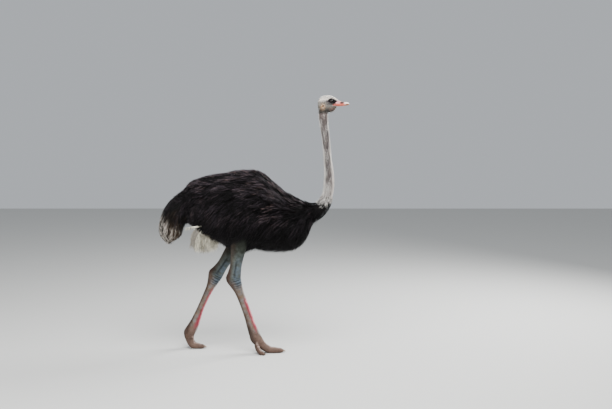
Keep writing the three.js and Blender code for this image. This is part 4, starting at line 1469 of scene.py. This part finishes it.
def hangingPlumes(side, settings, material):
    rng, hand = np.random.default_rng(settings["seeds"][side]), handOf[side]
    points = len(settings["taper"])
    u, t = np.linspace(0, 1, points)[:, None], np.linspace(0, 1, 12)[:, None]
    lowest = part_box("wing_plumes_" + side)[0][2]
    rows = []  # path, half widths, facing, tone, and how grey
    for rootX, rootZ, tipX, tipZ, out in settings["shafts"]:
        root, tip = np.array([rootX, hand * (out - 0.012), rootZ]), np.array([tipX, hand * out, tipZ])
        bowed = np.array([rng.uniform(-0.034, -0.006), hand * rng.uniform(0, 0.016), 0.012])
        middle = (root + tip) / 2 + bowed
        shaft = root * (1 - t) ** 2 + middle * 2 * t * (1 - t) + tip * t ** 2
        grey = float(smoothStep(-0.425, -0.455, tipX))
        narrowing = np.linspace(*settings["shaftWidths"], points)
        rows.append((throughPoints(shaft, points), narrowing, [0, hand, 0.2], 1.5, grey))
        own = rng.normal(0, 0.45)
        for _ in range(settings["barbs"]):
            at = rng.uniform(0.12, 1.0)
            place, after, before = (np.array([np.interp(v, t[:, 0], column) for column in shaft.T])
                                    for v in (at, min(at + 0.08, 1), at - 0.08))
            toward = rng.choice([-1, 1])
            spreading = np.array([toward * 1.0, rng.normal(0, 0.9), rng.normal(0, 0.25)])
            heading = normalised(normalised(after - before) + spreading * rng.uniform(0.15, 0.95))
            length = rng.uniform(*settings["barb"]) * (1.15 - 0.45 * at)
            fall = np.array([0.08 * toward, 0, -1.0])
            curl = np.array([rng.normal(0, 1), rng.normal(0, 1), rng.normal(0, 0.4)]) * settings["curl"]
            path = place + heading * length * 0.8 * u * (1 - 0.45 * u) + fall * length * 0.55 * u ** 2
            path += curl * np.sin(u * rng.uniform(3, 7)) * u
            path[:, 2] = np.maximum(path[:, 2], lowest + 0.001)
            wide = settings["halfWidth"] * rng.uniform(0.6, 1.2) * np.array(settings["taper"])
            facing = normalised(np.array([0, hand, 0.3]) + 0.7 * rng.normal(0, 1, 3))
            rows.append((path, wide, facing, rng.normal() * 0.8 + own, grey))
    start, end = np.array(settings["quill"]) * [1, hand, 1]
    quill = throughPoints([start, (start + end) / 2 + np.array([0, hand * 0.004, 0.006]), end], points)
    for shift in ([0, 0, 0], [0.02, 0, -0.0035]):
        rows.append((quill + shift, settings["quillWidths"], [0, hand, 0.5], 1.2, 0.0))
    for _ in range(settings["quillBarbs"]):
        place = start + (end - start) * rng.uniform(0.45, 0.98)
        length = rng.uniform(*settings["quillBarb"])
        heading = np.array([-0.8, rng.normal(0, 0.2), rng.choice([-1, -0.7, 0.25])])
        path = place + heading * length * u + np.array([0, 0, -0.3]) * length * u ** 2
        rows.append((path, settings["quillBarbWidths"], [0, hand, 0.4], rng.normal(), 0.1))
    paths, widths, facings, tones, greys = (np.array([row[i] for row in rows], float) for i in range(5))
    tones, greys = tones[:, None], greys[:, None]
    # painted shade: darker near the plumes' roots, paler towards their tips
    pale = layered(whiteTints, "shade", ("cream", smoothStep(-0.9, 0.7, tones + 1.2 * u[:, 0] - 1.0)))
    greyed = layered(whiteTints, "grey", ("dark", smoothStep(0.2, 1.4, tones)))
    corner = np.array([0.8 * spineRun(-0.36, 1.16) / surface["length"], settings["unwrapAt"][side]])
    roots = corner + rng.uniform(0, 0.05, (len(rows), 2))
    colours = mixed(pale, greyed, greys * 0.8)
    made = bladeMesh("whitePlumes_" + side, paths, widths, facings, colours, roots)
    dressed(made, material, "white_plume", "wing_plumes_" + side)


whitePlume = featherMaterial("whitePlume", 0.6, 0.3, 0.3)
for side in handOf:
    hangingPlumes(side, whitePlumes, whitePlume)


# Scutes, lashes and bristles: one shape placed on points by a Geometry Nodes tree

def placingTree():
    tree = bpy.data.node_groups.new("placeOnPoints", "GeometryNodeTree")
    for name, kind in {"Geometry": "Geometry", "Shape": "Object", "Length": "Float", "Width": "Float",
                       "Height": "Float", "Unevenness": "Float", "Finish": "Material"}.items():
        tree.interface.new_socket(name, in_out="INPUT", socket_type="NodeSocket" + kind)
    tree.interface.new_socket("Geometry", in_out="OUTPUT", socket_type="NodeSocketGeometry")
    given = addNode(tree, "NodeGroupInput")
    shape = addNode(tree, "GeometryNodeObjectInfo", {"Object": given["Shape"]})["Geometry"]
    outward, along, size = (
        addNode(tree, "GeometryNodeInputNamedAttribute", {"Name": name}, data_type=kind)[0]
        for name, kind in (("outward", "FLOAT_VECTOR"), ("along", "FLOAT_VECTOR"), ("size", "FLOAT")))
    turned = addNode(tree, "FunctionNodeAxesToRotation", {"Primary Axis": outward, "Secondary Axis": along},
                     primary_axis="Z", secondary_axis="X")[0]
    least, most = (addNode(tree, "ShaderNodeMath", {0: 1.0, 1: given["Unevenness"]}, operation=kind)[0]
                   for kind in ("SUBTRACT", "ADD"))
    vary = addNode(tree, "FunctionNodeRandomValue", {2: least, 3: most, "Seed": 7}, data_type="FLOAT")[1]
    both = addNode(tree, "ShaderNodeMath", {0: vary, 1: size}, operation="MULTIPLY")[0]
    sizes = addNode(tree, "ShaderNodeCombineXYZ", {
        "X": given["Length"], "Y": given["Width"], "Z": given["Height"]})
    scale = addNode(tree, "ShaderNodeVectorMath", {0: sizes[0], "Scale": both}, operation="SCALE")[0]
    instances = addNode(tree, "GeometryNodeInstanceOnPoints", {
        "Points": given["Geometry"], "Instance": shape, "Rotation": turned, "Scale": scale})[0]
    solid = addNode(tree, "GeometryNodeRealizeInstances", {"Geometry": instances})[0]
    finished = addNode(tree, "GeometryNodeSetMaterial", {"Geometry": solid, "Material": given["Finish"]})[0]
    addNode(tree, "NodeGroupOutput", {"Geometry": finished})
    return tree


placeOnPoints = placingTree()


def placed(name, slot, points, outward, along, size, colours, shape, settings, finish):
    values = dict(zip(("Length", "Width", "Height"), settings["size"]))
    values.update({"Shape": shape, "Unevenness": settings["unevenness"], "Finish": finish})
    made = meshObject(name, points, [], smooth=False)
    setAttribute(made, "outward", "FLOAT_VECTOR", outward)
    setAttribute(made, "along", "FLOAT_VECTOR", along)
    setAttribute(made, "size", "FLOAT", size)
    setColours(made, colours)
    modifier = made.modifiers.new("placeOnPoints", "NODES")
    modifier.node_group = placeOnPoints
    for item in placeOnPoints.interface.items_tree:
        if item.in_out == "INPUT" and item.name in values:
            modifier[item.identifier] = values[item.name]
    applyModifiers(made)
    made.data.shade_smooth()
    for key in ("outward", "along", "size"):
        if key in made.data.attributes:
            made.data.attributes.remove(made.data.attributes[key])
    report(f"{name}: {len(trianglesOf(made))} triangles")
    dressed(made, None, slot)


def scuteShape(name, bend):  # a closed horny plate 1 long and 1 wide, curved over the limb, with a round edge
    share = np.array([1, 2, 3, 3, 2, 1])[:, None] / 3  # out over the top and back underneath
    top = np.array([True, True, True, False, False, False])[:, None]
    x, y = (0.5 * share * np.sign(v) * np.abs(v) ** 0.4 for v in (np.cos(angles(14)), np.sin(angles(14))))
    crown = np.sqrt(1 - share ** 6) * (0.8 + 0.4 * x)
    z = np.where(top, crown, -0.8) - bend * y * y
    return tubeMesh(name, np.stack([x, y, z], 2), [(0, 0, 0.8), (0, 0, -0.8)])


def lashShape():  # a stiff hair 1 long along X, rising and curling back
    points = np.array([(0, 0, 0), (0.3, 0, 0.05), (0.62, 0, 0.16), (1, 0, 0.38)])
    vertices = [p + np.array([0, r * math.cos(a), r * math.sin(a)]) * [1, 1, 0.06]
                for p, r in zip(points, (0.5, 0.42, 0.28)) for a in angles(3)] + [points[-1]]
    tip = [(6 + a, 6 + (a + 1) % 3, 9) for a in range(3)]
    return closedMesh("lashShape", vertices, [(0, 2, 1)] + quadsBetween(3, 3) + tip)


scuteTints = {"red": "#ad3c50", "rose": "#cf8488", "slate": "#7d726b", "toe": "#6d584e", "pale": "#8b766c"}


def scuteRows(side, settings):  # for each scute: its place, the ways it faces and points, size and colour
    tree = searchTree(skin)
    hock, joint = legPoint(side, "hock"), legPoint(side, "joint")
    down = normalised(joint - hock)
    ahead = normalised(np.cross(down, [0, 1.0, 0]))
    ahead = ahead if ahead[0] > 0 else -ahead
    redFrom = settings["redFrom"][side]
    rng = np.random.default_rng(settings["seeds"][side])
    shinRows, toeRows = [], []
    for d in np.arange(settings["from"], settings["to"], settings["pitch"]):
        hit = tree.ray_cast(Vector(hock + down * d + ahead * 0.09), Vector(-ahead), 0.12)[0]
        red = smoothStep(redFrom, redFrom + 0.06, d) * smoothStep(0.455, 0.40, d)
        rosy = layered(scuteTints, "red", ("rose", rng.uniform(0, 0.8)))
        colour = mixed(toLinear(scuteTints["slate"]), rosy, red) * rng.uniform(0.80, 1.12)
        shinRows.append((hit, ahead, down, 1.0, colour))
    for toe, width in settings["toeWidths"].items():
        line = throughPoints(np.vstack([joint, legPoint(side, toe)]), 200)
        run = runAlong(line)
        for d in np.arange(0.030, run[-1] - 0.006, settings["toePitch"]):
            i = int(np.searchsorted(run, d))
            start, heading = line[i], normalised(line[min(i + 3, 199)] - line[max(i - 3, 0)])
            up = normalised(np.cross(normalised(np.cross(heading, [0, 0, 1.0])), heading))
            hit = tree.ray_cast(Vector(start + up * 0.07), Vector(-up), 0.12)[0]
            if hit is None or (np.array(hit) - start) @ up > 0.05:
                continue
            colour = layered(scuteTints, "toe", ("pale", rng.uniform(0, 1))) * rng.uniform(0.85, 1.1)
            toeRows.append((hit, up, heading, width / settings["size"][1] * 0.80, colour))
    return shinRows, toeRows


hornScute = hornMaterial("hornScute", 0.52)
shinPlate, toePlate, stiffHair = scuteShape("shinPlate", 17), scuteShape("toePlate", 7), lashShape()
for side in handOf:
    shinRows, toeRows = scuteRows(side, scutes)
    for name, slot, rows, plate in (("shinScutes_", "tarsus_skin", shinRows, shinPlate),
                                    ("toeScutes_", "toe_skin", toeRows, toePlate)):
        columns = (np.array([row[i] for row in rows]) for i in range(5))
        placed(name + side, slot, *columns, plate, scutes, hornScute)


lashes = {"count": 22, "arc": (8, 172), "tint": "#120d0e",
          "size": (0.0125, 0.0010, 0.0125), "unevenness": 0.2}


def lashRoots(hand, settings):  # along the upper lid's edge
    a = np.radians(np.linspace(*settings["arc"], settings["count"]))
    x, z = lidCurve(a)
    y = hand * np.sqrt(lidRadius ** 2 - x * x - z * z)
    along = np.stack([0.55 * np.cos(a) + 0.1, hand * 0.9 + 0 * a, 0.35 + 0.3 * np.sin(a)], 1)
    return np.stack([x, y, z], 1) + eyeMiddle(hand), normalised(along)


hairKeratin = featherMaterial("hairKeratin", 0.45, 0.0, 0.5)
points, along = (np.vstack(rows) for rows in zip(*(lashRoots(hand, lashes) for hand in handOf.values())))
upward, black = (np.tile(row, (len(points), 1)) for row in ([0, 0, 1.0], toLinear(lashes["tint"])))
placed("lashes", "neck_down", points, upward, along, np.ones(len(points)), black,
       stiffHair, lashes, hairKeratin)


bristles = {"low": (0.505, -0.04, 1.955), "high": (0.635, 0.04, 2.01), "count": 420, "seed": 61,
            "size": (0.0135, 0.00050, 0.0054), "unevenness": 0.15}


def onCrown(middle):
    return smoothStep(1.955, 1.985, middle[:, 2]) * bareness(middle)


rng = np.random.default_rng(bristles["seed"])
points, normals = skinRoots(bristles, rng, onCrown)
along = normalised(normals + np.array([-0.45, 0, 0.15]) + 0.35 * rng.normal(0, 1, normals.shape))
room = (cadBox[1][2] - boxMargin - points[:, 2]) / np.maximum(along[:, 2] + 0.25, 0.05)  # to the box's top
size = np.clip(room / bristles["size"][0], 0.25, 1.0) * (1 - 0.45 * smoothStep(0.54, 0.51, points[:, 0]))
colours = layered(downTints, "white", ("dark", smoothStep(0.1, 1.0, rng.normal(0, 1, len(points)))))
outward = normalised(np.cross(along, [0.2, 1.0, 0]))
placed("crownBristles", "neck_down", points, outward, along, size, colours,
       stiffHair, bristles, hairKeratin)
for shape in (shinPlate, toePlate, stiffHair):
    bpy.data.objects.remove(shape)


# Nails: broad flat horn at the toes' ends

nails = {  # metres past the toe's end; millimetres half wide, up, down, and above the toe's middle
    "big": [(-0.012, 13.0, 6.5, 7.0, 5.0), (-0.002, 14.2, 9.0, 8.5, 2.5), (0.010, 14.0, 9.0, 8.5, 1.0),
            (0.020, 12.2, 7.8, 7.4, -1.0), (0.028, 9.0, 6.0, 5.6, -3.2), (0.0325, 5.4, 3.8, 3.6, -5.0),
            (0.0350, 1.8, 1.5, 1.5, -6.2)],
    "small": [(-0.008, 5.8, 4.2, 3.2, 1.5), (0.0, 5.8, 4.6, 3.4, 1.0), (0.005, 5.0, 4.0, 3.2, 0.2),
              (0.010, 3.6, 2.8, 2.4, -1.0), (0.0135, 1.0, 0.9, 0.9, -2.0)],
}
nailMesh = {"rings": 40, "around": 32, "squareness": 2.3}
nailTints = {"horn": "#5a4a40", "tip": "#8d7b6a", "root": "#3b2f28"}


def nail(side, kind, stations, material):
    before, end = legPoint(side, kind + "Toe")[-2:]
    ahead = normalised((end - before) * [1, 1, 0])
    line = [(*(end + ahead * d + np.array([0, 0, rise / 1000])), w / 1000, up / 1000, down / 1000)
            for d, w, up, down, rise in stations]
    across = np.cross([0, 0, 1.0], ahead)
    made = loft(f"nail_claw_{kind}_{side}", line, width=across, **nailMesh)
    co = positionsOf(made)
    run = (co - end) @ ahead
    setColours(made, layered(nailTints, "horn", ("tip", smoothStep(0.008, 0.034, run)),
                             ("root", bump(run, 0.001, 0.004) * 0.6)))
    co[:, 2] = np.maximum(co[:, 2], 0.0008)
    setPositions(made, co)
    dressed(made, material, "claw_horn", f"claw_{kind}_{side}")


clawHorn = hornMaterial("clawHorn")
for side in handOf:
    for kind, stations in nails.items():
        nail(side, kind, stations, clawHorn)
report("scutes, lashes, bristles and nails")


# Floor, light and camera

view = {
    "eye": (0.410, -6.6, 1.75), "downTilt": 5.104, "lens": 50,
    "floor": "#c4c4c1", "sky": "#dfe4ea", "skyStrength": 0.66,
    "lamps": {  # place, metres across, watts, and what each is turned to
        "overhead": ((0.6, -2.6, 4.6), 3.2, 440, (0, 0, 1.1)),
        "fill": ((-3.8, -3.6, 2.6), 2.6, 190, (0, 0, 1.0)),
        "rim": ((3.4, 1.8, 3.2), 2.4, 400, (0.1, 0, 1.2)),
    },
}


def stageAndCamera(settings):
    corners = [(-9, -9, 0), (9, -9, 0), (9, 12, 0), (-9, 12, 0)]
    floor = meshObject("floor", corners, [(0, 1, 2, 3)], smooth=False)
    floor.data.materials.append(newMaterial("paintedFloor", {
        "Base Color": (*toLinear(settings["floor"]), 1), "Roughness": 0.9})[0])
    world = bpy.data.worlds.new("softSky")
    world.use_nodes = True
    sky = world.node_tree.nodes["Background"]
    sky.inputs["Color"].default_value = (*toLinear(settings["sky"]), 1)
    sky.inputs["Strength"].default_value = settings["skyStrength"]
    bpy.context.scene.world = world
    for name, (place, size, power, aim) in settings["lamps"].items():
        data = bpy.data.lights.new(name, "AREA")
        data.size = size
        data.energy = power
        lamp = linked(name, data)
        lamp.location = place
        lamp.rotation_euler = (Vector(aim) - Vector(place)).to_track_quat("-Z", "Y").to_euler()
    data = bpy.data.cameras.new("camera")
    data.lens = settings["lens"]
    camera = linked("camera", data)
    camera.location = settings["eye"]
    camera.rotation_euler = (math.radians(90 - settings["downTilt"]), 0, 0)
    bpy.context.scene.camera = camera


stageAndCamera(view)

fleshNodes = [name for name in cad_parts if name.split("_")[0] in
              ("trunk", "tail", "wing", "neck", "head", "shank", "tarsus", "toe")]
dressed(skin, birdSkin, "leg_skin", *fleshNodes)

bpy.context.view_layer.update()
report("finished")
